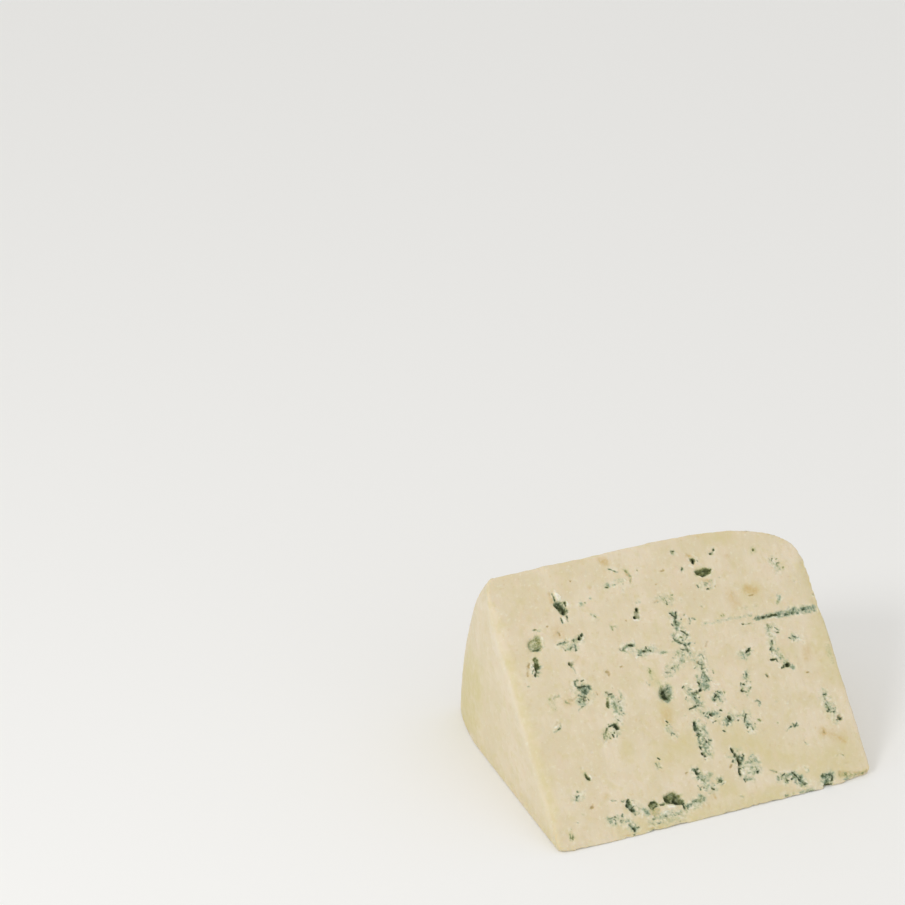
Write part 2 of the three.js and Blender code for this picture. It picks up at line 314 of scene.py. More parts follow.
MID_LEFT = (
    (HOLE, 1.0, (19.2, 53.0), (19.9, 52.9)),
    (TICK, 0.8, (19.6, 52.8), (19.6, 52.2)),
    (LINE, 0.5, (19.8, 52.0), (20.1, 50.2)),
    (MOSS, 0.6, (20.4, 53.5)),
    (STAIN, 2.0, (10.4, 44.4), (10.4, 41.6)),
    (SCRATCH, 0.6, (11.0, 44.4), (12.2, 44.8), (13.4, 44.8)),
    (LINE, 0.6, (18.8, 47.9), (18.9, 46.6), (19.2, 46.0)),  # teal pit
    (LINING, 1.4, (20.0, 45.5), (21.4, 45.3), (22.8, 45.2)),
    (LINING, 1.6, (20.9, 44.7), (21.9, 44.6)),
    (LINING, 1.0, (21.2, 44.0), (21.3, 43.6)),
    (TICK, 0.5, (19.2, 45.9), (21.6, 45.8), (23.6, 45.4)),
    (HOLE, 0.9, (20.7, 42.9), (20.4, 41.8)),
    (BROWN, 0.7, (16.2, 43.1), (17.0, 42.6), (18.2, 43.2)),
    (LINE, 0.5, (18.4, 43.2), (19.4, 43.6), (20.0, 43.0)),
    (BOSS, 2.4, (18.6, 42.0), (19.4, 41.2)),
    (SCRATCH, 0.8, (14.8, 42.8), (15.8, 41.6)),
    (GREY, 0.8, (17.6, 39.2), (18.6, 40.2), (20.5, 40.6)),
    (LINE, 0.35, (17.8, 39.2), (18.6, 40.0), (20.2, 40.5)),
    (BROWN, 0.5, (24.4, 43.4), (24.7, 42.7)),
    (TICK, 0.8, (27.6, 42.7), (28.0, 42.2)),  # loop
    (TICK, 0.7, (28.0, 42.0), (28.9, 41.9)),
    (MOSS, 0.9, (27.0, 40.6), (26.7, 39.6), (26.6, 38.4)),
    (BOSS, 2.8, (28.8, 40.2), (28.8, 37.2)),
    (GREY, 1.2, (30.6, 37.6), (29.8, 36.0)),
    (GREY, 0.9, (31.4, 42.2), (32.0, 40.0), (31.4, 37.6), (30.0, 36.4)),
    (BROWN, 1.0, (29.4, 48.2), (29.8, 47.6)),
    (BROWN, 0.5, (33.6, 49.0), (34.2, 49.1)),
    (SCRATCH, 0.5, (4.8, 49.4), (5.4, 49.2)),
    (LINE, 0.45, (8.6, 34.8), (9.6, 35.1), (10.6, 35.6), (11.1, 36.8)),
    (CURD, 0.6, (9.2, 36.2), (10.2, 36.6)),
    (SCRATCH, 0.4, (9.6, 37.0), (10.2, 37.8)),
    (TICK, 0.6, (25.2, 32.8), (26.4, 33.0), (27.4, 33.0)),  # pit under the loop
    (HOLE, 1.1, (27.4, 32.4), (27.7, 31.9)),
    (MOSS, 1.2, (24.8, 32.2), (24.0, 31.0)),
    (SCOOP, 1.4, (23.6, 31.0), (23.4, 30.0)),
    (CURD, 1.0, (26.0, 31.6), (26.2, 30.6)),
    (SCRATCH, 0.6, (22.2, 28.8), (23.2, 29.2)),
    (SCRATCH, 0.6, (24.2, 30.0), (24.6, 29.4)),
    (LINE, 0.5, (27.0, 30.6), (26.6, 29.2)),
)
MID_MIDDLE = (
    (TEAL, 1.4, (36.4, 53.8), (39.6, 54.7)),
    (TICK, 0.5, (36.3, 53.7), (37.0, 53.9)),
    (TICK, 0.5, (38.4, 54.8), (39.4, 54.4)),
    (TEAL, 1.8, (41.0, 51.2), (45.2, 51.8)),
    (TICK, 0.8, (42.3, 51.8), (42.6, 51.6)),
    (LINE, 0.5, (43.6, 52.2), (44.4, 52.3)),
    (LINE, 0.5, (44.4, 51.6), (45.4, 51.8)),
    (LINE, 0.4, (40.2, 51.0), (41.2, 50.6)),
    (GREY, 0.9, (46.4, 50.4), (49.4, 49.8)),
    (STAIN, 2.0, (42.4, 45.6), (42.2, 43.4)),
    (OLIVE, 0.5, (42.5, 46.3), (42.1, 45.0)),
    (LINE, 0.5, (40.2, 42.6), (40.7, 42.0)),
    (TICK, 0.8, (47.4, 44.2), (47.6, 44.0)),
    (GREY, 1.2, (48.6, 44.9), (49.8, 44.2)),
    (LINE, 0.4, (48.6, 44.9), (49.4, 45.1), (49.6, 44.2)),
    (SCRATCH, 0.4, (50.0, 45.8), (51.4, 45.5)),
    (STAIN, 2.4, (43.6, 41.8), (45.6, 40.8)),  # deep soft pit
    (SLUMP, 3.0, (44.8, 39.0), (44.7, 37.6)),
    (HOLE, 1.6, (44.8, 39.0), (44.7, 37.4)),
    (PIT, 2.4, (46.2, 39.6), (46.0, 38.4)),
    (PIT, 2.0, (45.0, 36.5)),
    (CURD, 0.5, (46.3, 37.2), (46.6, 36.2)),
    (TICK, 0.5, (52.5, 53.5), (53.0, 54.5), (53.9, 55.1)),  # ring
    (TICK, 0.5, (52.7, 53.0), (53.9, 52.2), (55.0, 51.2)),
    (TICK, 0.45, (55.2, 55.3), (56.2, 54.7), (56.9, 53.6)),
    (LINE, 0.4, (56.6, 53.0), (55.8, 52.2)),
    (TEAL, 1.4, (52.6, 54.2), (53.4, 52.4), (55.0, 51.2)),
    (TEAL, 1.4, (55.8, 54.8), (56.8, 53.2)),
    (CURD, 1.5, (54.3, 53.9), (54.8, 53.1)),
    (TEAL, 1.6, (55.4, 51.2), (55.5, 48.4)),  # trunk
    (TICK, 0.6, (55.2, 51.0), (55.2, 50.0), (55.4, 48.6)),
    (LINE, 0.5, (55.7, 50.7), (57.0, 51.2), (58.2, 50.9)),
    (GREY, 1.6, (53.0, 48.6), (53.2, 47.2), (51.8, 45.8)),
    (LINE, 0.4, (52.2, 46.4), (51.4, 45.4)),
    (BROWN, 0.6, (62.0, 50.5), (61.7, 49.9), (61.4, 49.2)),
    (LINE, 0.45, (57.4, 46.8), (58.4, 47.3), (59.3, 46.7), (59.6, 45.4), (59.1, 43.9)),
    (TEAL, 1.0, (57.4, 46.8), (58.9, 47.0), (59.5, 44.8)),
    (BROWN, 0.8, (57.5, 45.1), (57.8, 44.6)),
    (BOSS, 1.4, (58.4, 45.9), (58.5, 45.2)),
    (LINE, 0.4, (58.2, 43.6), (57.9, 41.8)),
    (TEAL, 2.0, (57.8, 41.0), (57.8, 39.4)),
    (LINE, 0.5, (57.9, 41.7), (57.2, 40.8), (56.5, 39.8)),
    (LINE, 0.5, (58.2, 41.3), (58.8, 40.3), (59.2, 39.3)),
    (GREY, 1.4, (55.8, 41.0), (56.2, 39.6)),
    (TEAL, 1.2, (51.8, 37.8), (53.0, 37.0)),  # dense cluster
    (LINE, 0.4, (51.4, 38.0), (52.2, 37.0), (53.2, 36.9)),
    (LINE, 0.4, (52.2, 38.0), (53.2, 37.8)),
    (TICK, 0.5, (53.0, 36.6), (53.6, 36.0)),
    (HOLE, 0.7, (54.6, 36.7), (55.8, 37.2)),
    (TEAL, 2.2, (56.4, 38.4), (57.6, 37.6)),
    (LINE, 0.5, (55.8, 37.4), (56.4, 38.2)),
    (TICK, 0.5, (54.6, 35.0)),
    (TEAL, 1.8, (53.0, 35.4), (53.8, 33.0)),
    (LINE, 0.4, (52.2, 35.0), (52.4, 33.8)),
    (TICK, 0.5, (50.6, 32.2), (51.8, 32.4), (52.8, 33.0)),
    (TICK, 0.5, (53.6, 32.8), (54.4, 32.4)),
    (TEAL, 2.2, (59.2, 33.6), (60.8, 34.4)),
    (TICK, 0.6, (59.6, 35.2), (60.0, 34.4), (59.2, 34.0)),
    (TICK, 0.5, (59.2, 33.2), (58.6, 32.6)),
    (LINE, 0.4, (60.6, 35.4), (61.4, 35.0), (61.6, 34.0), (60.6, 33.2)),
    (SCRATCH, 0.6, (62.8, 34.6)),
    (TEAL, 1.8, (55.2, 29.8), (58.2, 29.2)),
    (HOLE, 0.7, (56.3, 29.4), (56.6, 29.0)),
    (TICK, 0.5, (54.6, 30.3), (55.2, 29.9)),
    (LINE, 0.5, (58.0, 30.2), (58.4, 29.2)),
    (OLIVE, 0.8, (48.6, 30.8)),
)
MID_RIGHT = (
    (GREY, 0.8, (62.0, 55.6), (70.0, 55.3), (78.0, 55.0)),  # faint end of the needle channel
    (SCRATCH, 0.5, (74.4, 53.0), (78.0, 52.4)),
    (TICK, 0.4, (74.3, 53.0), (74.8, 52.9)),
    (LINE, 0.5, (78.2, 53.7), (79.4, 53.8)),
    (HOLE, 0.6, (80.0, 53.5), (82.0, 53.8), (84.0, 53.8), (86.0, 53.5)),
    (GROOVE, 1.3, (79.6, 53.5), (84.0, 53.8), (88.0, 53.1), (92.0, 53.3)),
    (GROOVE, 1.8, (86.0, 53.4), (92.0, 53.2), (97.6, 52.6)),
    (LINE, 0.6, (86.0, 53.4), (92.0, 53.2), (96.4, 52.8)),
    (MOSS, 0.5, (88.6, 53.1), (91.6, 53.2)),
    (TEAL, 2.2, (90.0, 53.4), (97.6, 52.8)),
    (CURD, 0.5, (83.6, 53.1), (86.4, 52.7)),
    (GREY, 2.4, (71.2, 44.4), (72.4, 43.8)),
    (TICK, 0.8, (73.2, 44.8), (74.2, 44.9)),
    (LINE, 0.6, (72.2, 43.6)),
    (SCRATCH, 0.5, (71.0, 45.2), (71.6, 44.8)),
    (SCRATCH, 0.6, (81.8, 51.3), (82.6, 50.2)),  # chain of small pits
    (LINE, 0.5, (84.0, 49.8), (85.2, 48.9)),
    (SCRATCH, 0.5, (81.2, 48.2), (82.4, 47.4), (82.0, 46.8)),
    (LINE, 0.5, (81.8, 46.3), (81.9, 45.3)),
    (LINE, 0.5, (81.3, 44.4), (80.3, 43.6)),
    (BROWN, 0.5, (82.2, 43.2)),
    (SCRATCH, 0.5, (80.0, 42.6), (80.6, 41.9)),
    (OLIVE, 0.7, (83.3, 41.9), (83.6, 40.4)),
    (TICK, 0.5, (79.8, 40.9), (81.4, 40.9)),
    (TICK, 0.5, (81.5, 40.7), (81.6, 40.0)),
    (GREY, 1.4, (82.0, 50.6), (81.6, 47.6), (81.2, 44.0), (83.4, 40.2)),
    (HOLE, 1.2, (83.6, 38.1), (84.7, 38.2)),
    (TICK, 0.6, (83.6, 37.8), (82.4, 37.6)),
    (TEAL, 1.2, (85.4, 37.6), (85.8, 37.2)),
    (GREY, 1.8, (88.6, 46.2), (89.6, 45.2)),
    (LINE, 0.4, (88.4, 46.8), (89.2, 45.9), (90.2, 45.3)),
    (LINE, 0.35, (88.9, 45.9), (88.4, 44.8)),
    (TEAL, 1.0, (71.0, 38.6), (70.5, 36.6)),
    (LINE, 0.5, (71.2, 38.5), (70.6, 37.4), (70.4, 36.4)),
    (TICK, 0.7, (68.1, 34.3), (68.7, 33.7)),
    (MOSS, 0.5, (69.0, 33.5), (70.0, 33.3), (71.3, 34.5)),
    (TEAL, 1.0, (69.2, 33.8), (71.0, 34.2)),
    (BROWN, 1.0, (76.8, 36.8), (77.3, 36.4)),
    (HOLE, 0.5, (76.8, 36.9), (77.2, 36.5)),
    (BROWN, 0.6, (89.6, 34.8), (90.0, 34.7)),
    (TAN, 0.8, (92.2, 41.8), (92.6, 41.6)),
    (LINE, 0.45, (71.0, 29.9), (72.0, 30.2), (72.7, 29.4), (72.2, 28.6)),
    (GREY, 1.4, (72.2, 29.2)),
    (GREY, 1.2, (92.6, 28.6), (93.4, 28.4)),
    (GREY, 0.7, (77.5, 28.5)),
    (STAIN, 1.6, (98.2, 41.0), (98.4, 36.0)),
)
LOW_LEFT = (
    (MOSS, 0.9, (14.0, 21.2), (14.2, 20.4), (14.7, 19.5)),
    (TICK, 0.4, (14.0, 20.6), (14.6, 19.5)),
    (CURD, 0.6, (15.2, 20.4), (15.4, 19.6)),
    (SCRATCH, 0.6, (13.3, 22.8)),
    (TEAL, 1.0, (9.3, 14.5), (10.4, 15.6)),
    (LINE, 0.5, (9.3, 14.8), (10.4, 15.7)),
    (BROWN, 0.8, (13.1, 11.5), (13.6, 11.5)),
    (OLIVE, 0.7, (9.8, 10.1)),
    (TICK, 0.5, (7.6, 8.3)),
    (OLIVE, 0.5, (4.0, 4.0), (4.6, 6.0), (5.2, 6.6)),
    (SCRATCH, 0.5, (4.6, 3.6), (5.2, 5.4)),
    (LINING, 1.6, (24.3, 10.4), (24.2, 9.4), (24.9, 8.0)),  # tilted slit
    (TICK, 0.6, (24.5, 11.2), (23.6, 10.0), (24.2, 8.0)),
    (HOLE, 0.9, (24.7, 8.0), (25.2, 6.9)),
    (CURD, 0.6, (25.6, 9.4), (26.4, 7.8)),
    (LINE, 0.4, (26.4, 9.0), (26.8, 8.2)),
    (LINE, 0.4, (25.9, 6.6), (26.6, 6.9)),
    (LINE, 0.5, (19.3, 12.0), (20.7, 11.6)),
    (LINE, 0.5, (22.4, 11.2), (23.0, 11.0)),
    (GREY, 2.0, (17.4, 6.6), (18.4, 5.6)),
    (LINE, 0.4, (17.0, 5.8), (17.2, 7.0), (18.2, 7.3)),
    (LINE, 0.5, (19.0, 6.3), (18.4, 5.3)),
    (LINE, 0.5, (21.3, 7.4), (21.1, 6.2), (20.5, 5.2)),
    (TEAL, 1.4, (22.6, 3.9), (24.2, 2.6)),
    (TICK, 0.7, (22.4, 4.1), (22.8, 3.8)),
    (TICK, 0.7, (23.4, 2.9), (23.8, 2.3)),
    (LINE, 0.6, (25.0, 2.8)),
    (TICK, 0.5, (23.2, 1.0)),
    (TAN, 0.6, (20.4, 1.4), (24.0, 1.2)),
    (TAN, 0.6, (27.6, 1.5), (32.0, 1.3)),
    (OLIVE, 0.5, (28.0, 0.9), (29.6, 0.9)),
)
LOW_MIDDLE = (
    (TEAL, 1.6, (28.0, 7.2), (29.0, 6.2)),  # double hole, its small left half
    (DOME, 1.5, (30.6, 8.0), (32.0, 8.2)),
    (TICK, 0.5, (30.0, 7.4), (31.0, 7.0), (32.2, 7.6)),
    (TICK, 0.5, (30.8, 8.8), (32.2, 8.8)),
    (CLAY, 2.6, (31.0, 6.0), (31.6, 5.8)),
    (DOME, 0.7, (33.4, 7.7), (35.2, 7.6)),
    (TICK, 0.4, (33.4, 7.4), (34.6, 7.4)),
    (GREY, 2.2, (31.6, 4.2), (35.4, 4.4)),
    (CURD, 0.9, (33.0, 4.8), (35.4, 5.0)),
    (LINE, 0.4, (31.0, 2.9), (31.5, 2.2), (32.1, 2.7)),
    (LINE, 0.4, (34.0, 3.6), (34.8, 2.8)),
    (DOME, 2.9, (36.6, 8.6), (37.4, 8.8), (38.6, 8.0)),  # its large right half
    (DOME, 1.6, (38.4, 8.2), (39.8, 7.0)),
    (HOLE, 1.0, (36.8, 7.6), (38.2, 7.3), (39.4, 6.8), (40.2, 6.2)),
    (SLUMP, 1.4, (38.2, 8.2), (39.6, 7.2)),
    (TICK, 0.6, (40.0, 6.0), (40.2, 5.2), (40.5, 4.2)),
    (CURD, 1.0, (35.6, 6.4), (38.0, 6.2)),
    (LINE, 0.5, (41.2, 4.4), (42.0, 5.8)),
    (LINE, 0.5, (42.4, 5.0), (43.2, 6.4)),
    (TEAL, 1.8, (41.4, 5.2), (43.6, 5.6)),
    (BOSS, 2.8, (44.0, 5.2), (46.0, 6.4)),
    (STAIN, 1.8, (33.6, 2.8), (39.4, 3.0)),
    (GREY, 1.6, (36.0, 3.4), (39.0, 4.2)),
    (TAN, 1.2, (46.0, 4.2), (47.4, 4.0)),
    (TAN, 0.7, (50.3, 6.6), (50.5, 5.6)),
    (TICK, 0.7, (47.5, 14.8), (47.0, 14.2), (47.2, 13.4)),
    (LINING, 0.9, (46.6, 15.0), (47.2, 13.8)),
    (LINE, 0.4, (45.8, 15.2), (46.4, 15.4)),
    (BOSS, 3.0, (47.8, 12.6), (49.0, 9.4)),
    (GREY, 0.9, (50.0, 13.0), (49.9, 10.4), (50.3, 8.0)),
    (TICK, 0.6, (47.7, 9.3)),
    (LINE, 0.4, (46.2, 10.2), (46.8, 8.8)),
    (GREY, 1.4, (51.0, 12.5)),
    (LINING, 1.2, (53.5, 10.6), (53.3, 9.8)),
    (LINE, 0.4, (52.2, 9.4), (53.0, 8.8), (54.4, 9.2)),
    (HOLE, 0.8, (50.8, 28.2), (50.7, 27.0), (50.9, 25.6)),  # long vein
    (LINING, 1.3, (50.8, 28.0), (51.0, 24.6)),
    (LINE, 0.5, (50.9, 25.0), (50.5, 23.6), (50.8, 21.8)),
    (GREY, 1.4, (53.2, 26.0), (53.5, 24.0), (53.2, 20.6)),
    (LINE, 0.5, (53.6, 22.6), (54.5, 22.3)),
    (BOSS, 2.6, (52.0, 26.2), (52.3, 20.8)),
    (TICK, 0.6, (50.4, 21.0), (50.8, 19.8)),
    (HOLE, 0.8, (50.6, 18.9), (51.1, 18.0)),
    (GREY, 1.8, (51.0, 19.2)),
    (HOLE, 0.9, (61.7, 27.6), (62.1, 27.0)),
    (LINE, 0.45, (62.6, 27.8), (63.8, 27.2), (63.0, 26.3)),
    (LINE, 0.5, (61.0, 26.2), (60.2, 25.4), (59.0, 25.6)),
    (TEAL, 1.8, (60.6, 26.4), (62.8, 26.8)),
    (TEAL, 1.8, (67.0, 26.4), (66.8, 24.0), (67.6, 22.8)),
    (TICK, 0.5, (67.4, 27.2), (66.6, 26.0), (66.4, 25.0)),
    (LINE, 0.6, (67.0, 24.2), (67.8, 23.8), (67.9, 22.4)),
    (LINE, 0.5, (43.6, 26.8), (44.0, 26.4)),
    (GREY, 0.8, (42.0, 28.3)),
    (SCRATCH, 0.5, (35.8, 19.4), (36.2, 18.2), (37.2, 17.9)),
    (TICK, 0.7, (59.6, 18.2), (60.0, 16.8), (60.3, 15.4)),  # big crevice
    (HOLE, 1.0, (60.6, 15.0), (61.2, 14.0)),
    (LINING, 1.7, (60.9, 15.0), (62.0, 14.8)),
    (LINING, 1.2, (61.3, 14.0), (60.8, 12.6)),
    (TICK, 0.5, (62.1, 14.9), (62.7, 15.8)),
    (HOLE, 0.8, (60.9, 14.0), (60.4, 12.4), (60.0, 11.0)),
    (TICK, 0.7, (60.0, 11.0), (59.9, 10.0)),
    (CURD, 0.8, (61.5, 13.0), (61.0, 11.6), (60.9, 10.2)),
    (BOSS, 3.6, (63.2, 12.4), (63.8, 11.0)),
    (GREY, 1.0, (65.4, 15.2), (66.3, 13.6), (66.2, 11.6), (65.0, 9.9)),
    (TEAL, 1.4, (64.8, 14.4), (65.8, 13.8)),
    (LINE, 0.5, (64.8, 9.8), (65.4, 9.9)),
    (BROWN, 0.5, (60.8, 8.0), (61.6, 8.6), (62.6, 8.8)),
    (GREY, 1.6, (61.0, 8.8), (63.2, 8.4)),
    (GREY, 1.2, (57.8, 16.3)),
    (BROWN, 0.6, (58.1, 13.8), (57.7, 13.3)),
    (SCRATCH, 0.7, (58.2, 4.2), (58.8, 3.8)),
    (BROWN, 0.5, (43.7, 14.7), (44.3, 14.8)),
)
LOW_RIGHT = (
    (LINE, 0.7, (71.2, 6.4), (71.8, 6.2)),
    (LINE, 0.8, (73.6, 6.2), (74.4, 6.7)),
    (TEAL, 1.4, (73.4, 6.6), (75.8, 7.0)),
    (TICK, 0.6, (75.8, 7.2), (76.8, 6.0), (77.2, 4.8)),
    (LINING, 0.8, (77.2, 5.0), (78.4, 3.8), (79.0, 3.2)),
    (TEAL, 2.8, (76.4, 5.8), (78.0, 4.2)),
    (CURD, 0.6, (75.6, 5.2), (76.4, 3.6)),
    (HOLE, 0.7, (78.4, 3.6), (78.8, 3.2)),
    (LINE, 0.4, (71.6, 1.5), (72.4, 1.1)),
    (OLIVE, 0.8, (72.2, 1.3), (74.0, 1.1)),
    (GREY, 1.4, (76.8, 1.2), (80.4, 1.0)),
    (TEAL, 3.0, (84.8, 2.4), (86.8, 3.6)),  # teal patch at the sharp edge
    (LINING, 1.0, (84.6, 4.0), (87.0, 4.2)),
    (TICK, 0.6, (87.2, 4.4), (87.7, 3.4), (86.9, 2.4)),
    (LINE, 0.6, (85.8, 3.2), (86.2, 1.8)),
    (MOSS, 1.2, (84.8, 1.3), (86.2, 1.3)),
    (HOLE, 0.7, (84.6, 1.0), (85.4, 1.1)),
    (OLIVE, 0.9, (90.2, 3.6), (93.0, 2.6), (98.0, 1.6)),
    (CLAY, 1.6, (90.4, 3.7), (93.6, 2.7), (98.4, 1.9)),
    (GREY, 1.0, (91.0, 1.9), (95.0, 1.6)),
    (LINE, 0.4, (78.0, 19.6), (78.8, 20.2), (79.8, 20.3)),
    (LINE, 0.5, (79.6, 20.4), (80.9, 20.4), (81.8, 21.1)),
    (LINE, 0.3, (80.2, 21.4), (80.8, 20.5), (82.0, 20.4)),
    (OLIVE, 0.8, (70.4, 24.6), (70.6, 24.0)),
    (OLIVE, 0.6, (75.9, 22.6)),
    (HOLE, 0.8, (92.2, 22.4), (92.8, 22.6)),
    (LINE, 0.4, (92.8, 21.8), (94.4, 21.5), (94.8, 22.2)),
    (GREY, 1.8, (92.4, 24.6), (93.4, 22.4)),
    (LINE, 0.5, (91.8, 25.2)),
    (LINE, 0.6, (92.7, 25.9)),
    (LINE, 0.5, (92.6, 27.2), (93.4, 27.3)),
    (BROWN, 0.6, (94.7, 23.3)),
    (BROWN, 1.6, (95.3, 19.5)),
    (HOLE, 1.0, (95.3, 19.4), (95.6, 19.4)),
    (TICK, 0.4, (95.0, 19.4), (94.2, 19.1)),
    (TAN, 1.6, (89.2, 17.4), (89.3, 16.2)),
    (BROWN, 0.6, (89.2, 17.3), (89.3, 16.6)),
    (LINE, 0.4, (82.2, 15.2), (82.5, 14.4), (83.2, 14.2)),
    (TAN, 1.2, (93.0, 14.0), (93.8, 13.4), (94.6, 12.0)),
    (SCRATCH, 0.5, (90.6, 8.8), (91.8, 9.4), (92.8, 8.7)),
    (OLIVE, 0.6, (79.8, 8.0)),
    (TEAL, 0.9, (80.6, 7.0)),
    (SCRATCH, 0.5, (69.3, 9.5), (71.0, 8.7)),
)
DRAWN_MARKS = (
    BROAD
    + TOP_LEFT + TOP_MIDDLE + TOP_RIGHT
    + MID_LEFT + MID_MIDDLE + MID_RIGHT
    + LOW_LEFT + LOW_MIDDLE + LOW_RIGHT
)


def specks(seed, marks):
    """Small pits, curds and dots of mould, strewn over the washes of thin mould."""
    rng = np.random.default_rng(seed)
    styles = (TICK, TICK, LINE, SCRATCH, GREY, TEAL, CURD, CURD, OLIVE)
    strewn = []
    for style, width, *line in marks:
        if style is not WASH:
            continue
        line = np.array(line, dtype=float)
        run = np.linalg.norm(np.diff(line, axis=0), axis=1).sum()
        for _ in range(int(SPECKS_PER_MM2 * width * (run + width))):
            share = rng.uniform(0.0, len(line) - 1.0)
            on_line = [np.interp(share, range(len(line)), side) for side in line.T]
            place = np.array(on_line) + rng.normal(0.0, 0.36 * width, 2)
            heading = rng.uniform(0.0, 2.0 * math.pi)
            end = place + rng.uniform(0.0, 0.9) * np.array([math.cos(heading), math.sin(heading)])
            speck = styles[rng.integers(len(styles))]
            strewn.append((speck, rng.uniform(0.22, 0.5), place, end))
    return strewn


def pocks(seed, count):
    """Small dimples that the knife tore out of the plain paste."""
    rng = np.random.default_rng(seed)
    strewn = []
    for _ in range(count):
        place = rng.uniform((2.0, 2.0), (98.0, 81.0))
        end = place + rng.normal(0.0, 0.5, 2)
        strewn.append((POCK, rng.uniform(0.3, 1.1), place, end))
    return strewn


def wandering_marks(seed, count, low, high):
    """Seeded marks for a face that the photograph doesn't show, as wandering strokes."""
    rng = np.random.default_rng(seed)
    styles = (HOLE, TICK, LINE, POCKET, MOSS, PIT, TEAL, TEAL, GREY, WASH, OLIVE, CURD, TAN)
    marks = []
    for _ in range(count):
        place = rng.uniform(low, high)
        style = styles[rng.integers(len(styles))]
        heading = rng.uniform(0.0, 2.0 * math.pi)
        line = [tuple(place)]
        for _ in range(rng.integers(0, 4)):
            heading += rng.normal(0.0, 0.7)
            place = place + rng.uniform(0.7, 2.2) * np.array([math.cos(heading), math.sin(heading)])
            line.append(tuple(place))
        broad = {TEAL: 1.6, GREY: 1.6, WASH: 3.0}.get(style, 1.0)
        marks.append((style, broad * rng.uniform(0.5, 1.6), *line))
    return marks


SPECKS_PER_MM2 = 0.6
TOP_MARKS = [*DRAWN_MARKS, *specks(SEED + 2, DRAWN_MARKS), *pocks(SEED + 3, 200)]
LOW_MARKS = wandering_marks(SEED + 1, 130, (6.0, 5.0), (94.0, 72.0))

# --------------------------------------------------------------------------------------------------
# Small tools
# --------------------------------------------------------------------------------------------------


def step(low, high, value):
    """0 below low, 1 above high, and a smooth rise between them."""
    t = np.clip((value - low) / (high - low), 0.0, 1.0)
    return t * t * (3.0 - 2.0 * t)


LATTICE_SIDES = {2: 256, 3: 32}
LATTICES = {
    axes: np.random.default_rng(SEED).random((side,) * axes) for axes, side in LATTICE_SIDES.items()
}


def noise(points, size, shift=0.0):
    """Smooth noise from -1 to 1, in lumps about `size` millimetres across.
    The last axis of points holds the two or three coordinates of each point."""
    axes = points.shape[-1]
    place = points / size + shift
    cell = np.floor(place).astype(int)
    t = place - cell
    t = t * t * (3.0 - 2.0 * t)
    total = np.zeros(points.shape[:-1])
    for corner in itertools.product((0, 1), repeat=axes):
        share = np.prod(np.where(corner, t, 1.0 - t), axis=-1)
        index = (cell + corner) % LATTICE_SIDES[axes]
        total += share * LATTICES[axes][tuple(np.moveaxis(index, -1, 0))]
    return 2.0 * total - 1.0


# --------------------------------------------------------------------------------------------------
# The plain wedge, as a distance
# --------------------------------------------------------------------------------------------------


def smooth_max(a, b, soft):
    """The larger of a and b, rounded off where they are less than `soft` apart."""
    near = np.maximum(soft - np.abs(a - b), 0.0)
    return np.maximum(a, b) + near * near / (4.0 * soft)


def wheel_side(depth, radius, corner):
    """How far a point is outside the wheel, near one flat face and the rim next to it.
    depth is measured from that flat face inwards, and radius from the wheel's axis."""
    along, inward, power = corner
    a = np.maximum((along - depth) / along, 0.0)
    b = np.maximum((radius - WHEEL_RADIUS + inward) / inward, 0.0)
    size = np.maximum((a**power + b**power) ** (1.0 / power), 1e-6)
    slope_a = (a / size) ** (power - 1.0) / along
    slope_b = (b / size) ** (power - 1.0) / inward
    slope = np.maximum(np.hypot(slope_a, slope_b), 1e-6)
    inside = -0.8 * np.minimum(along, inward)
    return np.where(size > 0.2, (size - 1.0) / slope, inside)


def nose_wear(along):
    """How far back the sharp edge is worn, at places along it."""
    places, wear = np.array(NOSE_WEAR).T
    return np.interp(along, places, wear)


def outside(points):
    """How far a point is outside the plain wedge, which has soft edges. It is 0 on the surface."""
    x, y, z = points.T
    radius = np.hypot(y, z)
    full = step(0.45 * WEDGE_ANGLE, WEDGE_ANGLE, np.arctan2(z, y))
    left_corner = [low + (top - low) * full for low, top in zip(LEFT_CORNER_LOW, LEFT_CORNER)]
    wheel = np.maximum(
        wheel_side(x, radius, left_corner),
        wheel_side(WHEEL_HEIGHT - x, radius, RIGHT_CORNER),
    )
    cut = points @ UP
    half = 0.5 * WEDGE_ANGLE
    nose = nose_wear(x) - (y * math.cos(half) + z * math.sin(half))
    knives = smooth_max(np.maximum(-z, cut), nose, NOSE_SOFT)
    out = points @ OUT
    by_left_edge = step(-7.0, -1.0, cut) * step(12.0, 4.0, x)
    by_left_edge *= step(2.0, 16.0, out) * step(80.0, 66.0, out)
    soft = EDGE_SOFT + (LEFT_EDGE_SOFT - EDGE_SOFT) * by_left_edge
    return smooth_max(wheel, knives, soft)


def slope_of(points, reach=0.02):
    """The direction in which `outside` grows, and how fast."""
    columns = []
    for axis in np.eye(3):
        rise = outside(points + reach * axis) - outside(points - reach * axis)
        columns.append(rise / (2.0 * reach))
    return np.stack(columns, axis=1)


def settle(points, rounds=4):
    """Moves points onto the wedge's surface."""
    for _ in range(rounds):
        slope = slope_of(points)
        steep = np.maximum((slope**2).sum(axis=1), 0.05)
        points = points - (outside(points) / steep)[:, None] * slope
    return points


# --------------------------------------------------------------------------------------------------
# Marks as fields over a cut face
# --------------------------------------------------------------------------------------------------


def stroke_distance(flat, line):
    """How far each point of a face is from a stroke's line."""
    best = np.linalg.norm(flat - line[0], axis=-1)
    for start, end in zip(line, line[1:]):
        run = end - start
        share = np.clip((flat - start) @ run / max(run @ run, 1e-9), 0.0, 1.0)
        gap = flat - start - share[..., None] * run
        best = np.minimum(best, np.linalg.norm(gap, axis=-1))
    return best


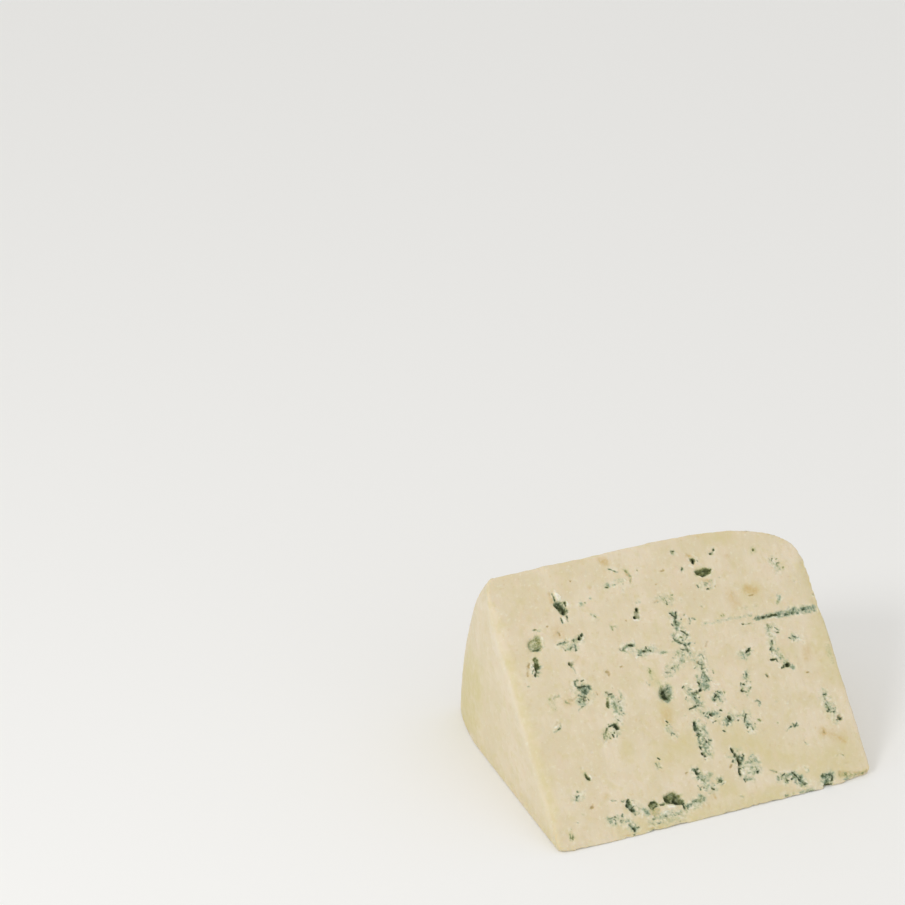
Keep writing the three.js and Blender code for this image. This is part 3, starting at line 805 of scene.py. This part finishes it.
CELL = 0.1
BORDER = 4.0
THIN = 1.3  # strokes narrower than this come out broken, as torn paste is
GRIT_REACH = 1.2
HAZE_CELLS = 5
LOOKS = ("mould", "hue", "hole", "pale", "tan", "yellow")


def blurred(field, cells, rounds=2):
    """A field averaged over the cells around each cell."""
    reach = range(-cells, cells + 1)
    for _ in range(rounds):
        for axis in (0, 1):
            field = sum(np.roll(field, shift, axis) for shift in reach) / len(reach)
    return field


class Sheet:
    """One cut face's marks, painted on a grid of small cells that reaches past the face."""

    def __init__(self, marks, shift):
        spans = (WHEEL_HEIGHT + 2.0 * BORDER, WHEEL_RADIUS + 2.0 * BORDER)
        axes = [CELL * (np.arange(int(span / CELL)) + 0.5) - BORDER for span in spans]
        self.cells = np.stack(np.meshgrid(*axes, indexing="ij"), axis=-1)
        self.bent = self.cells + self.bend(shift)
        self.broken = step(-0.35, 0.15, noise(self.cells, 0.9, shift + 4.0))
        for name in LOOKS + ("depth", "raised", "grit", "busy", "shade"):
            setattr(self, name, np.zeros(self.cells.shape[:2]))
        for style, width, *line in marks:
            self.paint(style, width, np.array(line, dtype=float))
        self.hue = blurred(self.hue, 2) / np.maximum(blurred(self.shade, 2), 1e-3)
        self.mould = np.maximum(self.mould, 0.55 * blurred(self.mould, HAZE_CELLS))
        self.depth -= self.raised * (self.depth < 0.3)
        self.crumble(shift)

    def bend(self, shift):
        """Small pushes that give the strokes natural, uneven edges."""
        sides = [
            0.2 * noise(self.cells, 1.7, start) + 0.16 * noise(self.cells, 0.6, start + 5.0)
            for start in (shift + 2.3, shift + 9.1)
        ]
        return np.stack(sides, axis=-1)

    def window(self, line, reach):
        """The cells in a stroke's box, grown by `reach`."""
        low = ((line.min(axis=0) - reach + BORDER) / CELL).astype(int)
        high = ((line.max(axis=0) + reach + BORDER) / CELL).astype(int)
        return tuple(slice(max(a, 0), max(b, 0)) for a, b in zip(low, high))

    def lift(self, name, spot, value):
        """Raises a field to at least the given values."""
        view = getattr(self, name)[spot]
        np.maximum(view, value, out=view)

    def paint(self, style, width, line):
        half = 0.5 * width
        spot = self.window(line, half * (1.2 + style.soft) + GRIT_REACH + 0.6)
        gap = stroke_distance(self.bent[spot], line)
        share = gap / half
        body = step(1.0 + style.soft, 1.0 - style.soft, share)
        if width < THIN:
            body = body * (0.4 + 0.6 * self.broken[spot])
        if style.depth > 0:
            self.lift("depth", spot, min(style.depth * width, DEEPEST) * body)
        else:
            self.lift("raised", spot, -style.depth * width * body)
        mould = style.mould * np.maximum(body, 0.3 * step(2.1, 0.8, share))
        self.hue[spot] += style.hue * mould
        self.shade[spot] += mould
        self.lift("mould", spot, mould)
        # Darkest along the stroke's middle, where it is dug deepest: the dark mould lining, darkened further
        # by painted shade.
        self.lift("hole", spot, style.hole * body * step(1.1, 0.5, share))
        self.lift("pale", spot, style.pale * body)
        self.lift("tan", spot, style.tan * body)
        self.lift("yellow", spot, style.yellow * body)
        self.lift("grit", spot, style.grit * step(half + GRIT_REACH, half, gap))
        dug = style.depth > 0.2 or style.pale > 0.0
        self.lift("busy", spot, (1.0 if dug else 0.5) * (gap < half + 0.3))

    def crumble(self, shift):
        """Breaks up the paste and the mould in and around the strokes."""
        crumb = 0.62 * noise(self.cells, 0.8, shift + 3.3) + 0.38 * noise(self.cells, 0.4, shift + 6.1)
        self.depth += self.grit * (0.06 + 0.24 * crumb)
        dots = 0.18 * self.grit * step(0.15, 0.5, crumb)
        uneven = (0.4 + 0.5 * self.grit) * step(1.3, 0.6, self.mould)
        self.mould = np.clip(self.mould * (1.0 + uneven * crumb) + dots, 0.0, 1.0)
        self.hole *= 0.9 + 0.3 * crumb
        curds = 0.7 * self.grit * step(0.12, 0.5, -crumb) * step(0.75, 0.35, self.mould)
        self.pale = np.maximum(self.pale, curds) * (1.0 - self.hole)

    def at(self, name, flat):
        """A field's values at points of the face."""
        field = getattr(self, name)
        last = np.array(field.shape) - 1.001
        place = np.clip((flat + BORDER) / CELL - 0.5, 0.0, last)
        cell = place.astype(int)
        t, s = (place - cell).T
        i, j = cell.T
        near = field[i, j] * (1.0 - s) + field[i, j + 1] * s
        far = field[i + 1, j] * (1.0 - s) + field[i + 1, j + 1] * s
        return near * (1.0 - t) + far * t


def on_top(points):
    """The places, as (along, out), of points on the upper cut face."""
    return np.column_stack([points[:, 0], points @ OUT])


TOP_SHEET = Sheet(TOP_MARKS, shift=0.0)
LOW_SHEET = Sheet(LOW_MARKS, shift=20.0)


# --------------------------------------------------------------------------------------------------
# The mesh
# --------------------------------------------------------------------------------------------------


def rim_outline(steps=14):
    """(x, radius) along the wheel's rim, from its left flat face to its right one."""
    points = []
    for corner, side in ((LEFT_CORNER, 0), (RIGHT_CORNER, 1)):
        along, inward, power = corner
        turn = np.linspace(0.0, math.pi / 2, steps)
        x = along * (1.0 - np.cos(turn) ** (2.0 / power))
        r = WHEEL_RADIUS - inward * (1.0 - np.sin(turn) ** (2.0 / power))
        pairs = list(zip(x, r))
        points += pairs if side == 0 else [(WHEEL_HEIGHT - x, r) for x, r in reversed(pairs)]
    return points


def rough_wedge(fan=24):
    """A coarse closed wedge: one fan-shaped ring at each point of the rim's outline."""
    build = bmesh.new()
    rings = []
    angles = np.linspace(0.0, WEDGE_ANGLE, fan)
    for x, r in rim_outline():
        arc = [(x, r * math.cos(a), r * math.sin(a)) for a in angles]
        rings.append([build.verts.new(p) for p in [(x, 0.0, 0.0)] + arc])
    for near, far in zip(rings, rings[1:]):
        for i in range(fan + 1):
            j = (i + 1) % (fan + 1)
            build.faces.new((near[i], near[j], far[j], far[i]))
    build.faces.new(reversed(rings[0]))
    build.faces.new(rings[-1])
    bmesh.ops.recalc_face_normals(build, faces=build.faces)
    return build


def even_triangles(build):
    """The same body remeshed into even triangles, which lie along the upper cut face."""
    level = Matrix.Rotation(-WEDGE_ANGLE, 4, "X")
    build.transform(level)
    mesh = bpy.data.meshes.new("rough")
    build.to_mesh(mesh)
    build.free()
    rough = bpy.data.objects.new("rough", mesh)
    bpy.context.scene.collection.objects.link(rough)
    remesh = rough.modifiers.new("even", "REMESH")
    remesh.mode = "VOXEL"
    remesh.voxel_size = COARSE
    bpy.context.view_layer.update()
    even = bmesh.new()
    even.from_object(rough, bpy.context.evaluated_depsgraph_get())
    even.transform(level.inverted())
    bpy.data.objects.remove(rough)
    bpy.data.meshes.remove(mesh)
    bmesh.ops.triangulate(even, faces=even.faces)
    return even


def places(build):
    return np.array([v.co for v in build.verts])


def put(build, points):
    for vertex, point in zip(build.verts, points):
        vertex.co = point


def face_shares(points):
    """How much each point belongs to the upper cut face, the lower one and the outer skin."""
    cut = step(-2.0, -0.6, points @ UP)
    bottom = step(1.2, 0.3, points[:, 2]) * (1.0 - cut)
    return cut, bottom, (1.0 - cut) * (1.0 - bottom)


def wanted_length(points):
    """How long the mesh's edges may be at each point."""
    x, y, z = points.T
    cut, bottom, skin = face_shares(points)
    upper = cut > 0.5
    lower = bottom > 0.5
    busy = TOP_SHEET.at("busy", on_top(points))
    length = np.full(len(points), COARSE)
    length[skin > 0.5] = SKIN_LENGTH
    length[lower & (LOW_SHEET.at("busy", points[:, :2]) > 0.6)] = FINE
    length[upper | smooth_edges(points)] = FINE
    length[upper & (TOP_SHEET.at("grit", on_top(points)) > 0.25)] = FINER
    length[upper & (busy > 0.7)] = FINEST
    floor_line = (z < 3.0) & ~lower & ((x < 3.0) | (y < 7.0))
    length[floor_line] = FINER
    return length


def smooth_edges(points):
    """Points close to two of the wedge's faces at once."""
    x, y, z = points.T
    gaps = np.stack([x, WHEEL_HEIGHT - x, WHEEL_RADIUS - np.hypot(y, z), z, -(points @ UP)])
    return (gaps < 2.5).sum(axis=0) > 1


def refine(build, rounds=6):
    """Splits the edges that are too long for where they are, until none is."""
    for _ in range(rounds):
        points = places(build)
        build.verts.index_update()
        build.edges.ensure_lookup_table()
        ends = np.array([(e.verts[0].index, e.verts[1].index) for e in build.edges])
        start, end = points[ends[:, 0]], points[ends[:, 1]]
        length = np.linalg.norm(end - start, axis=1)
        long = np.nonzero(length > 1.5 * wanted_length(0.5 * (start + end)))[0]
        if not len(long):
            return
        edges = [build.edges[i] for i in long]
        bmesh.ops.subdivide_edges(build, edges=edges, cuts=1)
        bmesh.ops.triangulate(build, faces=[f for f in build.faces if len(f.verts) > 3])


def smears(points):
    """The ridges that the knife dragged over the upper cut face, as noise from -1 to 1."""
    place = on_top(points)
    lean = math.radians(15.0)
    across = place @ (math.cos(lean), math.sin(lean))
    down = place @ (-math.sin(lean), math.cos(lean))
    return noise(np.column_stack([across, down / 9.0]), 1.3, 31.0)


def crumbs(points, bottom):
    """How far the paste has crumbled off beside the floor and along the sharp edge."""
    rubble = 0.12 + 0.35 * noise(points, 2.1, 13.0) + 0.25 * noise(points, 0.9, 17.0)
    by_floor = step(4.5, 0.6, points[:, 2]) * (1.0 - bottom)
    out = points @ OUT
    by_right_edge = step(97.0, 99.2, points[:, 0]) * step(44.0, 56.0, out) * step(82.0, 75.0, out)
    by_right_edge *= step(-4.0, -1.0, points @ UP)
    return np.maximum(by_floor * rubble, by_right_edge * (0.5 + rubble)).clip(0.0)


def undulation(points, cut, bottom, skin):
    """How far the surface lies under the plain wedge: waves, dents and crumbs."""
    waves = 0.16 * noise(points, 11.0) + 0.07 * noise(points, 4.2, 3.1)
    grain = 0.08 * noise(points, 1.6, 7.7) + 0.05 * noise(points, 0.85, 1.9)
    dents = 0.35 * step(0.45, 0.8, noise(points, 3.4, 21.0))
    return (
        cut * (0.02 + waves + grain + 0.06 * smears(points))
        + skin * (0.06 + 0.8 * waves + 0.5 * grain + 0.5 * dents)
        + 0.8 * crumbs(points, bottom)
        + bottom * (0.02 + 0.3 * grain)
    )


def skin_looks(points, cut, skin):
    """How buttery and how pale the outer skin is: the rim, both flat faces and the edges. The pale band on the
    left face beside its rounded edge to the upper cut face is a painted highlight.
    """
    x, y, z = points.T
    by_rim = 1.7 * step(28.0, 14.0, WHEEL_RADIUS - np.hypot(y, z)) * step(36.0, 20.0, z)
    by_rim *= 0.3 + 0.7 * step(6.0, 2.0, x)
    by_nose = 0.5 * step(20.0, 6.0, y)
    by_floor = 0.5 * step(6.0, 1.0, z)
    patches = 0.6 + 0.5 * noise(points, 6.0, 41.0) + 0.3 * noise(points, 1.8, 44.0)
    yellow = skin * patches * (0.03 + np.maximum(np.maximum(by_rim, by_nose), by_floor))
    edge_line = step(1.6, 0.5, x) * step(-2.4, -0.8, points @ UP) * step(70.0, 40.0, points @ OUT)
    # Painted highlight: a paler band on the left face, beside its rounded edge to the upper cut face.
    painted_highlight_band = step(5.0, 2.0, -(points @ UP)) * step(1.0, 0.3, x)
    pale = 0.15 * skin * painted_highlight_band * (1.0 - edge_line)
    return np.clip(np.maximum(yellow, 0.35 * edge_line), 0.0, 1.0), pale


def finish_shape(points):
    """Moves the points along the surface's normal, and returns them with the looks they carry."""
    slope = slope_of(points)
    normal = slope / np.maximum(np.linalg.norm(slope, axis=1), 1e-6)[:, None]
    cut, bottom, skin = face_shares(points)
    top, low = on_top(points), points[:, :2]
    looks = {n: cut * TOP_SHEET.at(n, top) + bottom * LOW_SHEET.at(n, low) for n in LOOKS}
    looks["hue"] = np.where(cut > 0.5, TOP_SHEET.at("hue", top), LOW_SHEET.at("hue", low))
    depth = cut * TOP_SHEET.at("depth", top) + bottom * LOW_SHEET.at("depth", low)
    rubble = 1.0 + 0.3 * noise(points, 0.9, 4.4) + 0.2 * noise(points, 0.45, 8.8)
    push = undulation(points, cut, bottom, skin) + depth * rubble
    moved = np.clip(points - push[:, None] * normal, BOX_LOW, BOX_HIGH)
    yellow, pale = skin_looks(points, cut, skin)
    looks["yellow"] = np.maximum(looks["yellow"], yellow)
    # On the skin, the pale share is the painted highlight beside the left edge.
    looks["pale"] = np.maximum(looks["pale"], pale)
    return moved, looks


def wedge_mesh():
    """The whole wedge, as a mesh in millimetres and the looks of its points."""
    build = even_triangles(rough_wedge())
    put(build, settle(places(build)))
    refine(build)
    points, looks = finish_shape(settle(places(build)))
    put(build, points)
    return build, looks


def clean(mesh):
    """Dissolves the triangles that the frame's box has flattened to nothing."""
    build = bmesh.new()
    build.from_mesh(mesh)
    bmesh.ops.dissolve_degenerate(build, dist=0.02 * MM, edges=build.edges)
    bmesh.ops.triangulate(build, faces=[f for f in build.faces if len(f.verts) > 3])
    build.to_mesh(mesh)
    build.free()


def make_piece(build, looks):
    """The mesh as a Blender object in the frame's place, in metres."""
    put(build, (places(build) + ORIGIN) * MM)
    mesh = bpy.data.meshes.new(NODE)
    build.to_mesh(mesh)
    build.free()
    mesh.polygons.foreach_set("use_smooth", [True] * len(mesh.polygons))
    for name, values in looks.items():
        layer = mesh.attributes.new(name, "FLOAT", "POINT")
        layer.data.foreach_set("value", values.astype(np.float32))
    clean(mesh)
    piece = bpy.data.objects.new("blue_cheese", mesh)
    bpy.context.scene.collection.objects.link(piece)
    print("triangles", len(mesh.polygons), "vertices", len(mesh.vertices))
    return piece


# --------------------------------------------------------------------------------------------------
# The material
# --------------------------------------------------------------------------------------------------


def linear(red, green, blue):
    """An 8-bit screen colour as the linear colour that a shader takes."""
    channels = []
    for value in (red, green, blue):
        share = value / 255.0
        channels.append(share / 12.92 if share < 0.04045 else ((share + 0.055) / 1.055) ** 2.4)
    return (*channels, 1.0)


IVORY = linear(226, 213, 187)
CREAM = linear(219, 206, 174)
ROSY = linear(222, 205, 176)
BUTTERY = linear(212, 200, 150)
# The white of torn curd, also used for the painted highlight beside the left face's edge.
CURD_AND_HIGHLIGHT_WHITE = linear(236, 232, 214)
OCHRE = linear(204, 177, 118)
MOULD_THIN = linear(188, 194, 168)
MOULD_BLUE = linear(142, 158, 134)
MOULD_DARK = linear(70, 90, 68)
OLIVE_THIN = linear(192, 191, 146)
OLIVE_MID = linear(136, 139, 88)
OLIVE_DARK = linear(80, 86, 46)
# Near-black inside the hollows: the dark mould lining, darkened further by painted shade.
HOLE_LINING_AND_SHADE = linear(52, 60, 34)


class Graph:
    """A short way to build a material's nodes."""

    def __init__(self, name):
        self.material = bpy.data.materials.new(name)
        self.material.use_nodes = True
        self.tree = self.material.node_tree
        self.shader = self.tree.nodes["Principled BSDF"]
        self.here = self.node("ShaderNodeTexCoord").outputs["Object"]

    def node(self, kind):
        return self.tree.nodes.new(kind)

    def feed(self, value, socket):
        """Links a value into a socket, or sets it there when it is a plain number or colour."""
        if isinstance(value, bpy.types.NodeSocket):
            self.tree.links.new(value, socket)
        else:
            socket.default_value = value

    def noise(self, size, detail=2.0, stretch=None, shift=0.0):
        """Noise from 0 to 1, with lumps `size` millimetres across."""
        node = self.node("ShaderNodeTexNoise")
        node.noise_dimensions = "4D"
        node.inputs["W"].default_value = shift
        node.inputs["Scale"].default_value = 1.0 / (size * MM)
        node.inputs["Detail"].default_value = detail
        self.feed(self.here if stretch is None else stretch, node.inputs["Vector"])
        return node.outputs["Fac"]

    def attribute(self, name):
        node = self.node("ShaderNodeAttribute")
        node.attribute_name = name
        return node.outputs["Fac"]

    def math(self, operation, first, second=0.0):
        node = self.node("ShaderNodeMath")
        node.operation = operation
        node.use_clamp = operation in ("MULTIPLY", "ADD", "SUBTRACT")
        self.feed(first, node.inputs[0])
        self.feed(second, node.inputs[1])
        return node.outputs[0]

    def ramp(self, value, low, high, start=0.0, end=1.0):
        """A smooth change from start to end while the value goes from low to high."""
        node = self.node("ShaderNodeMapRange")
        node.interpolation_type = "SMOOTHSTEP"
        for name, number in (("From Min", low), ("From Max", high), ("To Min", start), ("To Max", end)):
            node.inputs[name].default_value = number
        self.feed(value, node.inputs["Value"])
        return node.outputs["Result"]

    def mix(self, share, first, second):
        node = self.node("ShaderNodeMix")
        node.data_type = "RGBA"
        sockets = {s.identifier: s for s in node.inputs}
        self.feed(share, sockets["Factor_Float"])
        self.feed(first, sockets["A_Color"])
        self.feed(second, sockets["B_Color"])
        return next(s for s in node.outputs if s.identifier == "Result_Color")


def stretched(graph, angle, squeeze):
    """Object coordinates turned about Z and squeezed along one side, for streaks."""
    node = graph.node("ShaderNodeMapping")
    node.inputs["Rotation"].default_value = (0.0, 0.0, angle)
    node.inputs["Scale"].default_value = (1.0, squeeze, squeeze)
    graph.feed(graph.here, node.inputs["Vector"])
    return node.outputs["Vector"]


def mould_colour(graph, mould, hue):
    """Mould from a thin wash to a dark lining, blue-grey or olive."""
    half = graph.ramp(mould, 0.2, 0.6)
    full = graph.ramp(mould, 0.6, 1.0)
    blue = graph.mix(full, graph.mix(half, MOULD_THIN, MOULD_BLUE), MOULD_DARK)
    olive = graph.mix(full, graph.mix(half, OLIVE_THIN, OLIVE_MID), OLIVE_DARK)
    return graph.mix(hue, blue, olive)


def paste_colour(graph):
    """Plain paste: ivory, mottled with cream, rosy and buttery patches and stained with ochre."""
    paste = graph.mix(graph.ramp(graph.noise(9.0), 0.35, 0.65), IVORY, CREAM)
    paste = graph.mix(graph.ramp(graph.noise(5.0, shift=3.0), 0.5, 0.7, end=0.55), paste, ROSY)
    paste = graph.mix(graph.ramp(graph.noise(2.4), 0.5, 0.7, end=0.4), paste, BUTTERY)
    streaks = graph.noise(1.1, stretch=stretched(graph, math.radians(15), 0.1))
    paste = graph.mix(graph.ramp(streaks, 0.5, 0.65, end=0.45), paste, CREAM)
    bits = graph.noise(0.9, detail=3.0, shift=5.0)
    paste = graph.mix(graph.ramp(bits, 0.55, 0.75, end=0.4), paste, CURD_AND_HIGHLIGHT_WHITE)
    paste = graph.mix(graph.ramp(bits, 0.42, 0.25, end=0.3), paste, OCHRE)
    patches = graph.ramp(graph.noise(1.7, detail=3.0), 0.3, 0.65, start=0.45)
    paste = graph.mix(graph.math("MULTIPLY", graph.attribute("yellow"), patches), paste, BUTTERY)
    flecks = graph.ramp(graph.noise(0.8, detail=3.0), 0.3, 0.6, start=0.45)
    tan = graph.math("MULTIPLY", graph.attribute("tan"), flecks)
    return graph.mix(tan, paste, OCHRE)


def paste_material():
    graph = Graph("blue_cheese_paste")
    # Nearly white where curd is torn, and as a painted highlight on the left face beside its edge.
    colour = graph.mix(graph.attribute("pale"), paste_colour(graph), CURD_AND_HIGHLIGHT_WHITE)
    fine = graph.noise(0.5, detail=3.0)
    coarse = graph.noise(1.3, detail=2.0)
    broad = graph.ramp(coarse, 0.3, 0.65, start=0.6)
    thin = graph.math("MULTIPLY", graph.attribute("mould"), graph.ramp(fine, 0.3, 0.7, 0.6, 1.25))
    solid = graph.math("MULTIPLY", graph.attribute("mould"), 0.9)
    is_solid = graph.ramp(graph.attribute("mould"), 0.6, 0.9)
    mould = graph.math("MAXIMUM", graph.math("MULTIPLY", thin, broad), graph.math("MULTIPLY", solid, is_solid))
    hue = graph.math("ADD", graph.attribute("hue"), graph.ramp(coarse, 0.4, 0.7, start=-0.2, end=0.25))
    share = graph.ramp(mould, 0.02, 0.4)
    colour = graph.mix(share, colour, mould_colour(graph, mould, hue))
    # Deep in the hollows the colour turns near-black: partly the dark mould lining, partly painted shade.
    colour = graph.mix(graph.attribute("hole"), colour, HOLE_LINING_AND_SHADE)
    graph.feed(colour, graph.shader.inputs["Base Color"])

    rough = graph.ramp(graph.noise(3.0), 0.3, 0.7, start=0.45, end=0.62)
    rough = graph.math("ADD", rough, graph.math("MULTIPLY", mould, 0.3))
    graph.feed(rough, graph.shader.inputs["Roughness"])
    graph.shader.inputs["Specular IOR Level"].default_value = 0.28
    graph.shader.inputs["Subsurface Weight"].default_value = 0.3
    graph.shader.inputs["Subsurface Radius"].default_value = (1.0, 0.75, 0.45)
    graph.shader.inputs["Subsurface Scale"].default_value = 0.0014
    add_bump(graph)
    return graph.material


def add_bump(graph):
    """Fine crumb, and the faint streaks where the knife dragged over the paste."""
    streaks = graph.noise(0.7, detail=1.0, stretch=stretched(graph, math.radians(15), 0.06))
    crumb = graph.noise(0.45, detail=3.0)
    height = graph.math("ADD", graph.math("MULTIPLY", streaks, 0.4), graph.math("MULTIPLY", crumb, 0.5))
    bump = graph.node("ShaderNodeBump")
    bump.inputs["Strength"].default_value = 0.5
    bump.inputs["Distance"].default_value = 0.16 * MM
    graph.feed(height, bump.inputs["Height"])
    graph.feed(bump.outputs["Normal"], graph.shader.inputs["Normal"])


# --------------------------------------------------------------------------------------------------
# The stage
# --------------------------------------------------------------------------------------------------

FOCAL_PIXELS = 4000.0
FRAME_PIXELS = 905.0
SENSOR = 36.0
CAMERA_DOWN = math.radians(29.5)
CAMERA_YAW = math.radians(23.2)
CAMERA_DISTANCE = 1130.0
EDGE_END_PIXEL = (561.0, 856.0)  # where the left end of the sharp edge is seen


def add_camera():
    right = np.array([math.cos(CAMERA_YAW), -math.sin(CAMERA_YAW), 0.0])
    level = np.array([math.sin(CAMERA_YAW), math.cos(CAMERA_YAW), 0.0])
    ahead = math.cos(CAMERA_DOWN) * level - (0.0, 0.0, math.sin(CAMERA_DOWN))
    above = math.sin(CAMERA_DOWN) * level + (0.0, 0.0, math.cos(CAMERA_DOWN))
    sideways = (EDGE_END_PIXEL[0] - FRAME_PIXELS / 2) / FOCAL_PIXELS
    upwards = (FRAME_PIXELS / 2 - EDGE_END_PIXEL[1]) / FOCAL_PIXELS
    edge_end = CAD_LOW - (0.0, NOSE_REACH / 2, 0.0)
    place = edge_end - CAMERA_DISTANCE * (ahead + sideways * right + upwards * above)
    data = bpy.data.cameras.new("camera")
    data.sensor_width = SENSOR
    data.lens = SENSOR * FOCAL_PIXELS / FRAME_PIXELS
    data.clip_end = 10.0
    camera = bpy.data.objects.new("camera", data)
    turn = Matrix((right, above, -ahead)).transposed().to_4x4()
    camera.matrix_world = Matrix.Translation(Vector(place * MM)) @ turn
    bpy.context.scene.collection.objects.link(camera)
    bpy.context.scene.camera = camera


def add_light(name, place, size, power):
    """A round soft light that looks at the wedge."""
    data = bpy.data.lights.new(name, "AREA")
    data.shape = "DISK"
    data.size = size
    data.energy = power
    light = bpy.data.objects.new(name, data)
    light.location = place
    light.rotation_euler = (-Vector(place)).to_track_quat("-Z", "Y").to_euler()
    bpy.context.scene.collection.objects.link(light)


def add_floor():
    bpy.ops.mesh.primitive_plane_add(size=6.0)
    floor = bpy.context.object
    floor.name = "floor"
    graph = Graph("floor")
    graph.shader.inputs["Base Color"].default_value = (0.9, 0.9, 0.89, 1.0)
    graph.shader.inputs["Roughness"].default_value = 0.9
    floor.data.materials.append(graph.material)


def add_lighting():
    scene = bpy.context.scene
    scene.view_settings.view_transform = "Standard"
    scene.world = bpy.data.worlds.new("studio")
    scene.world.use_nodes = True
    air = scene.world.node_tree.nodes["Background"]
    air.inputs["Color"].default_value = (1.0, 0.99, 0.97, 1.0)
    air.inputs["Strength"].default_value = 0.79
    add_light("key", (-0.70, -0.30, 0.65), 0.3, 2.2)
    add_light("fill", (0.35, -0.85, 0.5), 0.7, 0.4)


add_camera()
add_floor()
add_lighting()
cheese = make_piece(*wedge_mesh())
cheese.data.materials.append(paste_material())
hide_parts(NODE)
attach(cheese, "root")
